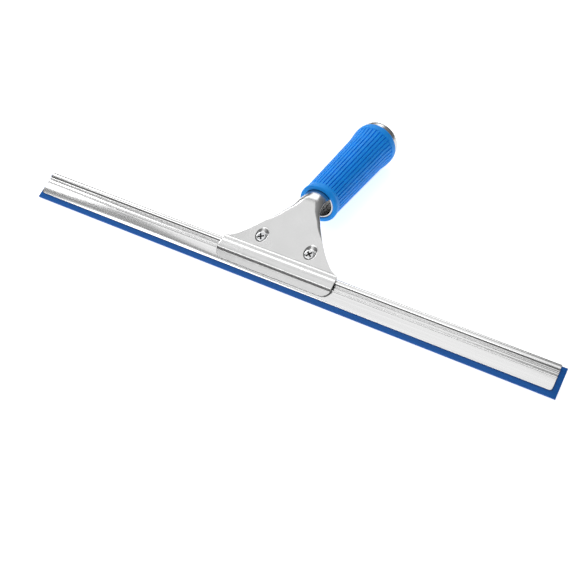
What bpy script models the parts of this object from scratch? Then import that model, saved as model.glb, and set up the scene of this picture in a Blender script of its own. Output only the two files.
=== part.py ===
"""Window cleaning squeegee: a rubber blade in a steel channel, clamped by the
two jaws of a stamped steel handle with a ribbed rubber grip.

The squeegee lies face up on a flat surface, on the working edge of its rubber
and on the flared rear of its grip. X runs along the blade, Y from the blade to
the end of the handle, Z up. The origin is the middle of the footprint. Metres.
"""

import math

import bmesh
import bpy
from mathutils import Matrix, Vector

MM = 0.001
NAME = "window_squeegee"

# Clearance between pieces that touch or slide on each other.
GAP = 0.3 * MM

# How the squeegee lies.
BLADE_TILT = math.radians(24.0)

# Rubber blade: a flat strip with a round heel along its upper edge. It stands
# out of both ends of the channel, further on the right by twice the shift.
RUBBER_STAND_OUT = 5.5 * MM
RUBBER_SHIFT = 1.5 * MM
RUBBER_THICK = 2.0 * MM
HEEL_RADIUS = 2.2 * MM
HEEL_U = 22.5 * MM

# Channel: one roll-formed strip around the rubber, with two ridges on each side.
CHANNEL_LENGTH = 457.0 * MM
CHANNEL_SHEET = 0.8 * MM
CHANNEL_LIP_U = 4.3 * MM
CHANNEL_CORNER = 2.2 * MM
RIDGE_BELOW_HEEL = (7.1 * MM, 3.6 * MM)
RIDGE_HALF = 0.85 * MM
RIDGE_RISE = 0.8 * MM

# Upper jaw and handle: one stamped sheet that is rolled into a tube.
JAW_SHEET = 1.2 * MM
JAW_HALF = 51.6 * MM
JAW_LIP_U = 7.1 * MM
JAW_CORNER = 7.5 * MM
JAW_STEP_U = 12.4 * MM
JAW_END_U = 25.0 * MM
JAW_BAND_RISE = 0.35 * MM
NECK_BEND_RADIUS = 22.0 * MM
NECK_HALF_ARC = 11.3 * MM
FLANK_RADIUS = 4.5 * MM
FLANK_ARC = 4.2 * MM
FLANK_START_U = 44.0 * MM
FLANK_FULL_U = 62.0 * MM
TUBE_RADIUS = 13.1 * MM
TUBE_CONE_RADIUS = 15.4 * MM
TUBE_BELL_RADIUS = 18.9 * MM
TUBE_SEAM = 0.4 * MM
MOUTH_FILLET = 1.2 * MM
TUBE_MOUTH_G = 1.0 * MM
TUBE_BELL_LENGTH = 15.0 * MM
TUBE_BELL_SETBACK = 2.7 * MM
TUBE_STAND_OUT = 6.5 * MM
AXIS_Y = 84.6 * MM
AXIS_Z = 24.4 * MM

# Grip sleeve, measured along the handle's axis from its front face.
GRIP_LENGTH = 107.7 * MM
GRIP_RIM_RADIUS = 17.1 * MM
GRIP_RIM_ROUND = 1.3 * MM
GRIP_RIM_LENGTH = 3.2 * MM
GRIP_FRONT_RADIUS = 16.6 * MM
GRIP_BACK_RADIUS = 18.7 * MM
GRIP_FLARE_RADIUS = 20.3 * MM
GRIP_END_BAND = 3.2 * MM
GRIP_FLARE_LENGTH = 18.5 * MM
GRIP_RIB_COUNT = 36
GRIP_RIB_START_G = 6.5 * MM
GRIP_RIB_END_BAND = 7.2 * MM
GRIP_GROOVE_DEPTH = 0.7 * MM

# Lower jaw: the plate that the screws pull against the channel.
LOWER_HALF = 46.0 * MM
LOWER_LIP_U = 10.8 * MM
LOWER_CORNER = 5.0 * MM
TONGUE_HALF = 7.0 * MM
TONGUE_U = 93.0 * MM
TONGUE_BEND_U = 76.0 * MM
TONGUE_DROP = 1.6 * MM

# Screws (M5 pan head) and their nuts. The recess pressed around each head has a
# round floor and an oval rim that reaches further up the blade.
SCREW_X = 22.0 * MM
SCREW_U = 35.5 * MM
SHANK_RADIUS = 2.5 * MM
HEAD_RADIUS = 4.3 * MM
HEAD_HEIGHT = 2.0 * MM
CROSS_LENGTH = 5.4 * MM
CROSS_WIDTH = 1.1 * MM
CROSS_DEPTH = 1.2 * MM
CROSS_TURNS = {"left": math.radians(30.0), "right": math.radians(52.0)}
RECESS_CLEARANCE = 0.35 * MM
RECESS_DEPTH = 1.8 * MM
RECESS_FLARE_X = 0.35 * MM
RECESS_FLARE_U = 2.05 * MM
RECESS_SHIFT = 2.0 * MM
RECESS_WALL = 1.1 * MM
RECESS_OVERRUN = 0.05 * MM
HOLE_CLEARANCE = 0.5 * MM
NUT_FLATS = 8.0 * MM
NUT_HEIGHT = 4.0 * MM
SCREW_END = 2.6 * MM
TIP_CHAMFER = 0.6 * MM

# Faces of the channel and the jaws, measured from the rubber's middle plane.
INNER_FACE = RUBBER_THICK / 2 + GAP
OUTER_FACE = INNER_FACE + CHANNEL_SHEET
BEAD_INNER = HEEL_RADIUS + GAP
BEAD_OUTER = BEAD_INNER + CHANNEL_SHEET
JAW_LIP_FACE = OUTER_FACE + GAP + JAW_SHEET
PLATE_FACE = BEAD_OUTER + GAP + JAW_SHEET
RIDGE_US = (HEEL_U - RIDGE_BELOW_HEEL[0], HEEL_U - RIDGE_BELOW_HEEL[1])
RUBBER_LENGTH = CHANNEL_LENGTH + RUBBER_STAND_OUT

# Stations along the handle's axis.
TUBE_BELL_G = GRIP_LENGTH - TUBE_BELL_SETBACK
TUBE_CONE_G = TUBE_BELL_G - TUBE_BELL_LENGTH
TUBE_END_G = GRIP_LENGTH + TUBE_STAND_OUT
GRIP_FLARE_G = GRIP_LENGTH - GRIP_END_BAND
GRIP_WAIST_G = GRIP_FLARE_G - GRIP_FLARE_LENGTH
GRIP_RIB_END_G = GRIP_LENGTH - GRIP_RIB_END_BAND

# The flare's lowest point and the rubber's edge rest on one plane.
HANDLE_DROP = math.asin((AXIS_Z - GRIP_FLARE_RADIUS) / GRIP_FLARE_G)

# Holes for the screws, and each recess's floor and rim.
HOLE_RADIUS = SHANK_RADIUS + HOLE_CLEARANCE
RECESS_RADIUS = HEAD_RADIUS + RECESS_CLEARANCE
RECESS_HALF_WIDTH = RECESS_RADIUS + RECESS_FLARE_X
RECESS_HALF_LENGTH = RECESS_RADIUS + RECESS_FLARE_U

# Footprint, measured from the rubber's lower working corner.
FRONT_Y = -RUBBER_THICK * math.sin(BLADE_TILT)
BACK_Y = (AXIS_Y + TUBE_END_G * math.cos(HANDLE_DROP)
          + TUBE_BELL_RADIUS * math.sin(HANDLE_DROP))
ORIGIN_X = RUBBER_SHIFT
ORIGIN_Y = (FRONT_Y + BACK_Y) / 2

STEEL_SATIN = ("steel_satin", (0.60, 0.60, 0.59), 0.34, 1.0)
STEEL_BRIGHT = ("steel_bright", (0.72, 0.72, 0.71), 0.22, 1.0)
STEEL_PLATED = ("steel_zinc_plated", (0.55, 0.56, 0.57), 0.3, 1.0)
RUBBER_BLADE = ("rubber_blade_blue", (0.02, 0.10, 0.40), 0.55, 0.0)
RUBBER_GRIP = ("rubber_grip_blue", (0.02, 0.22, 0.70), 0.6, 0.0)


def blade_point(x, u, n):
    """World place of a point: u up the blade from its edge, n out of its front."""
    lifted = n + RUBBER_THICK / 2
    return Vector((
        x - ORIGIN_X,
        u * math.cos(BLADE_TILT) - lifted * math.sin(BLADE_TILT) - ORIGIN_Y,
        u * math.sin(BLADE_TILT) + lifted * math.cos(BLADE_TILT),
    ))


def blade_frame(x, u, n):
    """Frame with local X along the blade, Y up the blade, Z out of its front."""
    return Matrix.Translation(blade_point(x, u, n)) @ Matrix.Rotation(BLADE_TILT, 4, "X")


def handle_point(g, rise=0.0):
    """World (y, z) at g along the handle's axis and rise above it."""
    y = AXIS_Y - ORIGIN_Y + g * math.cos(HANDLE_DROP) + rise * math.sin(HANDLE_DROP)
    z = AXIS_Z - g * math.sin(HANDLE_DROP) + rise * math.cos(HANDLE_DROP)
    return y, z


def handle_frame():
    """Frame with local Z along the handle's axis and local X along the blade."""
    y, z = handle_point(0.0)
    turn = Matrix.Rotation(-math.pi / 2 - HANDLE_DROP, 4, "X")
    return Matrix.Translation((-ORIGIN_X, y, z)) @ turn


def make_material(finish):
    """Principled material from a name, colour, roughness and metallic value."""
    label, colour, roughness, metallic = finish
    material = bpy.data.materials.get(label)
    if material:
        return material
    material = bpy.data.materials.new(label)
    material.use_nodes = True
    shader = material.node_tree.nodes["Principled BSDF"]
    shader.inputs["Base Color"].default_value = (*colour, 1.0)
    shader.inputs["Roughness"].default_value = roughness
    shader.inputs["Metallic"].default_value = metallic
    return material


def new_collection(name, hidden=False):
    """Collection linked to the scene."""
    collection = bpy.data.collections.new(name)
    bpy.context.scene.collection.children.link(collection)
    collection.hide_render = hidden
    return collection


def face_sheet(bm, outward):
    """Turn an open sheet's faces so that its outer side looks outward."""
    bmesh.ops.recalc_face_normals(bm, faces=bm.faces)
    bm.faces.ensure_lookup_table()
    if bm.faces[0].normal.dot(outward) < 0:
        bmesh.ops.reverse_faces(bm, faces=bm.faces)


def add_sheet(obj, thickness):
    """Give an open sheet its thickness on its inner side."""
    modifier = obj.modifiers.new("sheet", "SOLIDIFY")
    modifier.thickness = thickness
    modifier.offset = -1.0
    modifier.use_even_offset = True


def add_mesh(name, bm, collection, finish=None, frame=None, closed=True):
    """Object from a bmesh, placed by its frame."""
    if closed:
        bmesh.ops.recalc_face_normals(bm, faces=bm.faces)
    mesh = bpy.data.meshes.new(name)
    bm.to_mesh(mesh)
    bm.free()
    obj = bpy.data.objects.new(name, mesh)
    collection.objects.link(obj)
    if frame:
        obj.matrix_world = frame
    if finish:
        mesh.materials.append(make_material(finish))
    return obj


def smooth(obj, degrees=30.0):
    """Smooth shading with sharp edges kept."""
    obj.data.shade_smooth()
    obj.data.set_sharp_from_angle(angle=math.radians(degrees))


def add_boolean(obj, other, operation):
    """Exact Boolean with another object."""
    modifier = obj.modifiers.new(operation.lower(), "BOOLEAN")
    modifier.operation = operation
    modifier.solver = "EXACT"
    modifier.object = other


def add_cutter(name, bm, cutters, frame=None):
    """Wire-only helper object."""
    cutter = add_mesh(name, bm, cutters, frame=frame)
    cutter.hide_render = True
    cutter.display_type = "WIRE"
    return cutter


def cylinder_bmesh(radius, low, high, sides=40):
    """Cylinder along local Z from low to high."""
    bm = bmesh.new()
    bmesh.ops.create_cone(bm, cap_ends=True, segments=sides, radius1=radius, radius2=radius,
                          depth=high - low)
    bmesh.ops.translate(bm, vec=(0, 0, (low + high) / 2), verts=bm.verts)
    return bm


def box_bmesh(size, centre=(0, 0, 0), turn=0.0):
    """Box of the given size, turned about local Z."""
    bm = bmesh.new()
    bmesh.ops.create_cube(bm, size=1.0)
    bmesh.ops.scale(bm, vec=size, verts=bm.verts)
    bmesh.ops.translate(bm, vec=centre, verts=bm.verts)
    bmesh.ops.rotate(bm, matrix=Matrix.Rotation(turn, 3, "Z"), verts=bm.verts)
    return bm


def arc(centre, radius, start, end, count):
    """Points on an arc in the (u, n) plane, angles in degrees from +u."""
    points = []
    for step in range(count + 1):
        angle = math.radians(start + (end - start) * step / count)
        points.append((centre[0] + radius * math.cos(angle), centre[1] + radius * math.sin(angle)))
    return points


def profile_bar(name, outline, length, shift, collection, finish):
    """Bar along X from a closed (u, n) outline."""
    bm = bmesh.new()
    corners = [bm.verts.new((-length / 2, u, n)) for u, n in outline]
    face = bm.faces.new(corners)
    swept = bmesh.ops.extrude_face_region(bm, geom=[face])
    moved = [item for item in swept["geom"] if isinstance(item, bmesh.types.BMVert)]
    bmesh.ops.translate(bm, vec=(length, 0, 0), verts=moved)
    return add_mesh(name, bm, collection, finish, blade_frame(shift, 0, 0))


def mirrored(half):
    """Closed outline from its front half, listed from the lip up to the crown."""
    back = [(u, -n) for u, n in reversed(half) if n > 1e-9]
    return half + back


def make_rubber(collection):
    """Rubber blade with its round heel."""
    half_thick = RUBBER_THICK / 2
    meet = math.degrees(math.asin(half_thick / HEEL_RADIUS))
    half = [(0.0, half_thick)]
    half += arc((HEEL_U, 0), HEEL_RADIUS, 180 - meet, 0, 12)
    rubber = profile_bar("rubber_blade", mirrored(half), RUBBER_LENGTH, RUBBER_SHIFT, collection,
                         RUBBER_BLADE)
    smooth(rubber)
    return rubber


def ridge(centre_u):
    """Front points over one lengthwise ridge of the channel."""
    points = []
    steps = 6
    for step in range(steps + 1):
        along = -1 + 2 * step / steps
        rise = RIDGE_RISE * 0.5 * (1 + math.cos(math.pi * along))
        points.append((centre_u + RIDGE_HALF * along, OUTER_FACE + rise))
    return points


def make_channel(collection, cutters):
    """Channel: flat lips, two ridges on each side and a round bead over the heel."""
    outer_meet = math.degrees(math.asin(OUTER_FACE / BEAD_OUTER))
    inner_meet = math.degrees(math.asin(INNER_FACE / BEAD_INNER))
    front = [(CHANNEL_LIP_U, OUTER_FACE)]
    for centre_u in RIDGE_US:
        front += ridge(centre_u)
    front += arc((HEEL_U, 0), BEAD_OUTER, 180 - outer_meet, 0, 12)
    outside = mirrored(front)
    inside_front = [(CHANNEL_LIP_U, INNER_FACE)] + arc((HEEL_U, 0), BEAD_INNER,
                                                       180 - inner_meet, 0, 12)
    inside = mirrored(inside_front)
    outline = outside + list(reversed(inside))
    channel = profile_bar("channel", outline, CHANNEL_LENGTH, 0.0, collection, STEEL_BRIGHT)
    for side in (-1, 1):
        bm = box_bmesh((CHANNEL_CORNER * 2, CHANNEL_CORNER * 2, 20 * MM),
                       (side * CHANNEL_LENGTH / 2, CHANNEL_LIP_U, 0))
        corner = add_cutter(f"channel_corner_{side}", bm, cutters, blade_frame(0, 0, 0))
        centre = blade_frame(side * (CHANNEL_LENGTH / 2 - CHANNEL_CORNER),
                             CHANNEL_LIP_U + CHANNEL_CORNER, 0)
        keep = add_cutter(f"channel_round_{side}",
                          cylinder_bmesh(CHANNEL_CORNER, -15 * MM, 15 * MM, 32), cutters, centre)
        add_boolean(corner, keep, "DIFFERENCE")
        add_boolean(channel, corner, "DIFFERENCE")
    smooth(channel)
    return channel


def jaw_profile(lip_u, lip_face, plate_face):
    """(u, n) points of a jaw's outer face from its lip to its plate."""
    band = plate_face + JAW_BAND_RISE
    lip_length = JAW_STEP_U - lip_u
    lip = [(lip_u + lip_length * share, lip_face) for share in (0.0, 0.05, 0.18, 0.4, 0.7, 1.0)]
    return lip + [
        (13.2 * MM, lip_face + 0.15 * MM),
        (14.4 * MM, plate_face - 0.1 * MM),
        (15.4 * MM, band - 0.1 * MM),
        (17.0 * MM, band),
        (18.8 * MM, band - 0.08 * MM),
        (20.2 * MM, plate_face),
        (21.2 * MM, plate_face - 0.15 * MM),
        (22.2 * MM, plate_face + 0.05 * MM),
        (23.3 * MM, plate_face + 0.3 * MM),
        (24.4 * MM, plate_face + 0.1 * MM),
        (25.2 * MM, plate_face - 0.05 * MM),
        (26.0 * MM, plate_face + 0.1 * MM),
        (26.6 * MM, plate_face + 0.25 * MM),
        (27.4 * MM, plate_face),
    ]


def corner_half(distance, half, radius):
    """Half width near a rounded corner, at a distance from the free edge."""
    if distance >= radius:
        return half
    return half - radius + math.sqrt(radius ** 2 - (radius - distance) ** 2)


def follow(table, at):
    """Smooth value of a short table at one place, by cubic pieces."""
    count = len(table)
    for index in range(count - 1):
        if at <= table[index + 1][0] or index == count - 2:
            break
    x0, y0 = table[index]
    x1, y1 = table[index + 1]
    slopes = []
    for middle in (index, index + 1):
        low = table[max(middle - 1, 0)]
        high = table[min(middle + 1, count - 1)]
        slopes.append((high[1] - low[1]) / (high[0] - low[0]))
    span = x1 - x0
    t = min(max((at - x0) / span, 0.0), 1.0)
    return ((2 * t ** 3 - 3 * t ** 2 + 1) * y0 + (t ** 3 - 2 * t ** 2 + t) * span * slopes[0]
            + (3 * t ** 2 - 2 * t ** 3) * y1 + (t ** 3 - t ** 2) * span * slopes[1])


def plate_half(u):
    """Half width of the upper plate, from the jaw to the neck."""
    table = [
        (25.4 * MM, JAW_HALF),
        (26.6 * MM, JAW_HALF - 1.3 * MM),
        (29.0 * MM, JAW_HALF - 6.4 * MM),
        (36.6 * MM, JAW_HALF - 14.7 * MM),
        (47.7 * MM, JAW_HALF - 23.8 * MM),
        (62.9 * MM, NECK_HALF_ARC + 7.1 * MM),
        (76.0 * MM, NECK_HALF_ARC + 1.0 * MM),
        (88.0 * MM, NECK_HALF_ARC),
    ]
    return follow(table, u)


class Row:
    """One cross-section of a bent sheet: where it lies, how wide and how curled."""

    def __init__(self, y, z, tilt, half, flat, radius):
        self.y = y
        self.z = z
        self.tilt = tilt
        self.half = half
        self.flat = flat
        self.radius = radius

    def point(self, arc_length):
        """World point at an arc length from the middle of the section."""
        reach = abs(arc_length)
        side = 1 if arc_length >= 0 else -1
        if reach <= self.flat:
            across = reach
            drop = 0.0
        else:
            angle = (reach - self.flat) / self.radius
            across = self.flat + self.radius * math.sin(angle)
            drop = self.radius * (1 - math.cos(angle))
        return Vector((side * across - ORIGIN_X, self.y + drop * math.sin(self.tilt),
                       self.z - drop * math.cos(self.tilt)))


def row_on_blade(u, n, half):
    """Flat row across the jaw or plate."""
    place = blade_point(0, u, n)
    return Row(place.y, place.z, BLADE_TILT, half, half, TUBE_RADIUS)


def bend_corner():
    """u at which the plate's face meets the line along the top of the tube."""
    start = blade_point(0, 0, PLATE_FACE)
    line_y, line_z = handle_point(0, TUBE_RADIUS)
    along = Vector((math.cos(BLADE_TILT), math.sin(BLADE_TILT)))
    handle = Vector((math.cos(HANDLE_DROP), -math.sin(HANDLE_DROP)))
    offset = Vector((line_y - start.y, line_z - start.z))
    cross = along.x * handle.y - along.y * handle.x
    return (offset.x * handle.y - offset.y * handle.x) / cross


def neck_path(steps):
    """Places and tilts along the bend from the plate to the top of the tube."""
    turn = BLADE_TILT + HANDLE_DROP
    tangent = NECK_BEND_RADIUS * math.tan(turn / 2)
    corner_u = bend_corner()
    start = blade_point(0, corner_u - tangent, PLATE_FACE)
    path = []
    for step in range(steps + 1):
        angle = turn * step / steps
        forward = NECK_BEND_RADIUS * math.sin(angle)
        down = NECK_BEND_RADIUS * (1 - math.cos(angle))
        y = start.y + forward * math.cos(BLADE_TILT) + down * math.sin(BLADE_TILT)
        z = start.z + forward * math.sin(BLADE_TILT) - down * math.cos(BLADE_TILT)
        path.append((corner_u - tangent + NECK_BEND_RADIUS * angle, y, z, BLADE_TILT - angle))
    return path


def ease(value, low, high):
    """Smooth step from 0 at low to 1 at high."""
    t = min(max((value - low) / (high - low), 0.0), 1.0)
    return t * t * (3 - 2 * t)


def curled(row, u, curl_end):
    """Turn the row's sides down: narrow flanks on the plate, the whole row at the tube."""
    flank = FLANK_ARC * ease(u, FLANK_START_U, FLANK_FULL_U)
    share = ease(u, FLANK_FULL_U, curl_end)
    row.flat = (row.half - flank) * (1 - share)
    row.radius = FLANK_RADIUS + (TUBE_RADIUS - FLANK_RADIUS) * share
    return row


def plate_rows():
    """Rows of the upper jaw, plate and neck up to the tube's mouth."""
    rows = []
    for u, n in jaw_profile(JAW_LIP_U, JAW_LIP_FACE, PLATE_FACE):
        half = JAW_HALF
        if u < JAW_LIP_U + JAW_CORNER:
            half = corner_half(u - JAW_LIP_U, JAW_HALF, JAW_CORNER)
        elif u > JAW_END_U:
            half = plate_half(u)
        rows.append(row_on_blade(u, n, half))
    path = neck_path(6)
    bend_start = path[0][0]
    mouth_y, mouth_z = handle_point(TUBE_MOUTH_G, TUBE_RADIUS)
    last_u, last_y, last_z, _ = path[-1]
    straight = math.hypot(mouth_y - last_y, mouth_z - last_z)
    curl_end = last_u + straight
    stations = 14
    first = 28.4 * MM
    for step in range(stations):
        u = first + (bend_start - first) * step / stations
        rows.append(curled(row_on_blade(u, PLATE_FACE, plate_half(u)), u, curl_end))
    for u, y, z, tilt in path:
        rows.append(curled(Row(y, z, tilt, plate_half(u), 0.0, TUBE_RADIUS), u, curl_end))
    for share in (0.35, 0.65, 0.85, 1.0):
        u = last_u + straight * share
        half = plate_half(u) + MOUTH_FILLET * share ** 5
        y = last_y + (mouth_y - last_y) * share
        z = last_z + (mouth_z - last_z) * share
        rows.append(curled(Row(y, z, -HANDLE_DROP, half, 0.0, TUBE_RADIUS), u, curl_end))
    return rows


def tube_radius(g):
    """Outer radius of the tube: a slow cone, then a bell at the open end."""
    if g <= TUBE_CONE_G:
        return TUBE_RADIUS + (TUBE_CONE_RADIUS - TUBE_RADIUS) * g / TUBE_CONE_G
    belled = ease(g, TUBE_CONE_G, TUBE_BELL_G)
    return TUBE_CONE_RADIUS + (TUBE_BELL_RADIUS - TUBE_CONE_RADIUS) * belled


def tube_rows():
    """Rows of the tube from just behind its mouth to its open end."""
    rows = []
    stations = [5 * MM, 30 * MM, 55 * MM, 75 * MM, TUBE_CONE_G]
    bell_steps = 6
    for step in range(1, bell_steps + 1):
        stations.append(TUBE_CONE_G + (TUBE_BELL_G - TUBE_CONE_G) * step / bell_steps)
    stations.append(TUBE_END_G)
    for g in stations:
        radius = tube_radius(g)
        y, z = handle_point(g, radius)
        rows.append(Row(y, z, -HANDLE_DROP, 0.0, 0.0, radius))
    return rows


def bowl_bmesh(wall, floor, rim):
    """Recess or its cup: a round floor and an oval rim, both grown by the wall."""
    bm = cylinder_bmesh(RECESS_RADIUS + wall, floor, rim)
    for vert in bm.verts:
        if vert.co.z > (floor + rim) / 2:
            angle = math.atan2(vert.co.y, vert.co.x)
            vert.co.x = (RECESS_HALF_WIDTH + wall) * math.cos(angle)
            vert.co.y = RECESS_SHIFT + (RECESS_HALF_LENGTH + wall) * math.sin(angle)
    return bm


def raise_rim(bm, rim, height):
    """Carry a bowl's oval rim straight up."""
    lids = [face for face in bm.faces if face.calc_center_median().z > rim - GAP]
    raised = bmesh.ops.extrude_discrete_faces(bm, faces=lids)
    for face in raised["faces"]:
        bmesh.ops.translate(bm, vec=(0, 0, height), verts=face.verts)


def press_recesses(handle, cutters):
    """Press both recesses into the plate, then punch their holes."""
    floor = PLATE_FACE - RECESS_DEPTH
    sides = ("left", "right")
    for side in sides:
        cup_bmesh = bowl_bmesh(RECESS_WALL, floor - JAW_SHEET, PLATE_FACE - JAW_SHEET / 2)
        cup = add_cutter(f"cup_{side}", cup_bmesh, cutters, screw_frame(side))
        add_boolean(handle, cup, "UNION")
    for side in sides:
        rim = PLATE_FACE + RECESS_OVERRUN
        recess_bmesh = bowl_bmesh(0.0, floor, rim)
        raise_rim(recess_bmesh, rim, 3 * MM)
        recess = add_cutter(f"recess_{side}", recess_bmesh, cutters, screw_frame(side))
        add_boolean(handle, recess, "DIFFERENCE")
    for side in sides:
        hole = add_cutter(f"hole_{side}", cylinder_bmesh(HOLE_RADIUS, -20 * MM, 20 * MM, 24),
                          cutters, screw_frame(side))
        add_boolean(handle, hole, "DIFFERENCE")


def make_handle(collection, cutters):
    """Upper jaw, plate, neck and tube as one bent sheet."""
    centre_steps = 16
    wrap_steps = 12
    columns = centre_steps + 2 * wrap_steps
    front = plate_rows()
    back = tube_rows()
    rows = front + back
    mouth = len(front) - 1
    neck_angle = front[-1].half / TUBE_RADIUS
    bm = bmesh.new()
    bmesh.ops.create_grid(bm, x_segments=columns, y_segments=len(rows) - 1, size=0.5)
    beside_neck = []
    for face in bm.faces:
        middle = face.calc_center_median()
        if abs(middle.x) * columns > centre_steps / 2 and (middle.y + 0.5) * (len(rows) - 1) < mouth:
            beside_neck.append(face)
    bmesh.ops.delete(bm, geom=beside_neck, context="FACES")
    for vert in bm.verts:
        column = round((vert.co.x + 0.5) * columns)
        index = round((vert.co.y + 0.5) * (len(rows) - 1))
        row = rows[index]
        centre = (column - columns / 2) / (centre_steps / 2)
        if index < mouth:
            vert.co = row.point(row.half * centre)
            continue
        side = 1 if centre >= 0 else -1
        outside = max(abs(centre) - 1.0, 0.0) * centre_steps / 2 / wrap_steps
        full = math.pi - TUBE_SEAM / 2 / row.radius
        angle = neck_angle * min(abs(centre), 1.0) + (full - neck_angle) * outside
        vert.co = row.point(side * angle * row.radius)
    face_sheet(bm, blade_point(0, 0, 1) - blade_point(0, 0, 0))
    handle = add_mesh("handle_shell", bm, collection, STEEL_SATIN, closed=False)
    add_sheet(handle, JAW_SHEET)
    press_recesses(handle, cutters)
    smooth(handle)
    return handle


def screw_frame(side, n=0.0):
    """Frame on one screw's axis, local Z out of the plate."""
    return blade_frame(-SCREW_X if side == "left" else SCREW_X, SCREW_U, n)


def lower_rows():
    """Rows of the lower jaw on its outer face, from its lip to its tongue."""
    rows = []
    for u, n in jaw_profile(LOWER_LIP_U, JAW_LIP_FACE, PLATE_FACE):
        half = LOWER_HALF
        if u < LOWER_LIP_U + LOWER_CORNER:
            half = corner_half(u - LOWER_LIP_U, LOWER_HALF, LOWER_CORNER)
        elif u > JAW_END_U:
            half = lower_half(u)
        rows.append((u, -n, half))
    for u in (30, 34, 39, 45, 52, 59, 66, 73):
        rows.append((u * MM, -PLATE_FACE, lower_half(u * MM)))
    for share in (0.25, 0.5, 0.75, 1.0):
        u = TONGUE_BEND_U + (TONGUE_U - TONGUE_BEND_U) * share
        rows.append((u, -PLATE_FACE - TONGUE_DROP * share ** 2, TONGUE_HALF - 1.5 * MM * share ** 6))
    return rows


def lower_half(u):
    """Half width of the lower jaw's plate, inside the outline of the upper one."""
    table = [
        (JAW_END_U, LOWER_HALF),
        (29.0 * MM, LOWER_HALF - 5.0 * MM),
        (38.0 * MM, LOWER_HALF - 13.5 * MM),
        (50.0 * MM, LOWER_HALF - 23.5 * MM),
        (64.0 * MM, TONGUE_HALF + 4.0 * MM),
        (TONGUE_BEND_U, TONGUE_HALF),
    ]
    return follow(table, u)


def make_lower_jaw(collection, cutters):
    """Lower jaw: lip, plate with two holes, and the tongue in the tube's mouth."""
    rows = lower_rows()
    columns = 12
    heel = blade_frame(0, TONGUE_U, JAW_SHEET - PLATE_FACE - TONGUE_DROP)
    bm = bmesh.new()
    bmesh.ops.create_grid(bm, x_segments=columns, y_segments=len(rows) - 1, size=0.5)
    for vert in bm.verts:
        u, n, half = rows[round((vert.co.y + 0.5) * (len(rows) - 1))]
        vert.co = heel.inverted() @ blade_point(half * vert.co.x * 2, u, n)
    face_sheet(bm, Vector((0, 0, -1)))
    jaw = add_mesh("lower_jaw", bm, collection, STEEL_SATIN, heel, closed=False)
    add_sheet(jaw, JAW_SHEET)
    for side in ("left", "right"):
        hole = add_cutter(f"lower_hole_{side}",
                          cylinder_bmesh(HOLE_RADIUS, -20 * MM, 20 * MM, 24), cutters,
                          screw_frame(side))
        add_boolean(jaw, hole, "DIFFERENCE")
    smooth(jaw)
    return jaw


def screw_profile(length):
    """(radius, z) points of a screw from its tip, which is chamfered, to its domed crown."""
    points = [
        (0.0, -length),
        (SHANK_RADIUS - TIP_CHAMFER, -length),
        (SHANK_RADIUS, TIP_CHAMFER - length),
        (SHANK_RADIUS, 0.0),
        (HEAD_RADIUS - 0.2 * MM, 0.0),
        (HEAD_RADIUS, 0.25 * MM),
    ]
    steps = 5
    for step in range(1, steps):
        angle = step / steps * math.pi / 2
        height = HEAD_HEIGHT * (0.55 + 0.45 * math.sin(angle))
        points.append((HEAD_RADIUS * math.cos(angle) ** 0.4, height))
    points.append((0.0, HEAD_HEIGHT))
    return points


def make_screw(side, collection, cutters):
    """M5 pan head screw with a cross recess."""
    seat = PLATE_FACE - RECESS_DEPTH + GAP
    length = seat + PLATE_FACE + GAP + NUT_HEIGHT + SCREW_END
    bm = bmesh.new()
    verts = [bm.verts.new((radius, 0, z)) for radius, z in screw_profile(length)]
    edges = [bm.edges.new(pair) for pair in zip(verts, verts[1:])]
    bmesh.ops.spin(bm, geom=verts + edges, cent=(0, 0, 0), axis=(0, 0, 1), angle=math.tau,
                   steps=32, use_merge=True)
    bmesh.ops.remove_doubles(bm, verts=bm.verts, dist=1e-7)
    screw = add_mesh(f"screw_{side}", bm, collection, STEEL_PLATED, screw_frame(side, seat))
    for index in range(2):
        turn = CROSS_TURNS[side] + index * math.pi / 2
        slot = add_cutter(f"cross_{side}_{index}",
                          box_bmesh((CROSS_LENGTH, CROSS_WIDTH, 4 * MM),
                                    (0, 0, HEAD_HEIGHT - CROSS_DEPTH + 2 * MM), turn),
                          cutters, screw_frame(side, seat))
        add_boolean(screw, slot, "DIFFERENCE")
    smooth(screw)
    return screw


def make_nut(side, collection, cutters):
    """Hex nut under the lower jaw."""
    top = -PLATE_FACE - GAP
    bm = cylinder_bmesh(NUT_FLATS / 2 / math.cos(math.pi / 6), -NUT_HEIGHT, 0.0, 6)
    nut = add_mesh(f"nut_{side}", bm, collection, STEEL_PLATED, screw_frame(side, top))
    bore = add_cutter(f"nut_bore_{side}", cylinder_bmesh(HOLE_RADIUS, -10 * MM, 10 * MM, 32),
                      cutters, screw_frame(side, top))
    add_boolean(nut, bore, "DIFFERENCE")
    return nut


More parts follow.
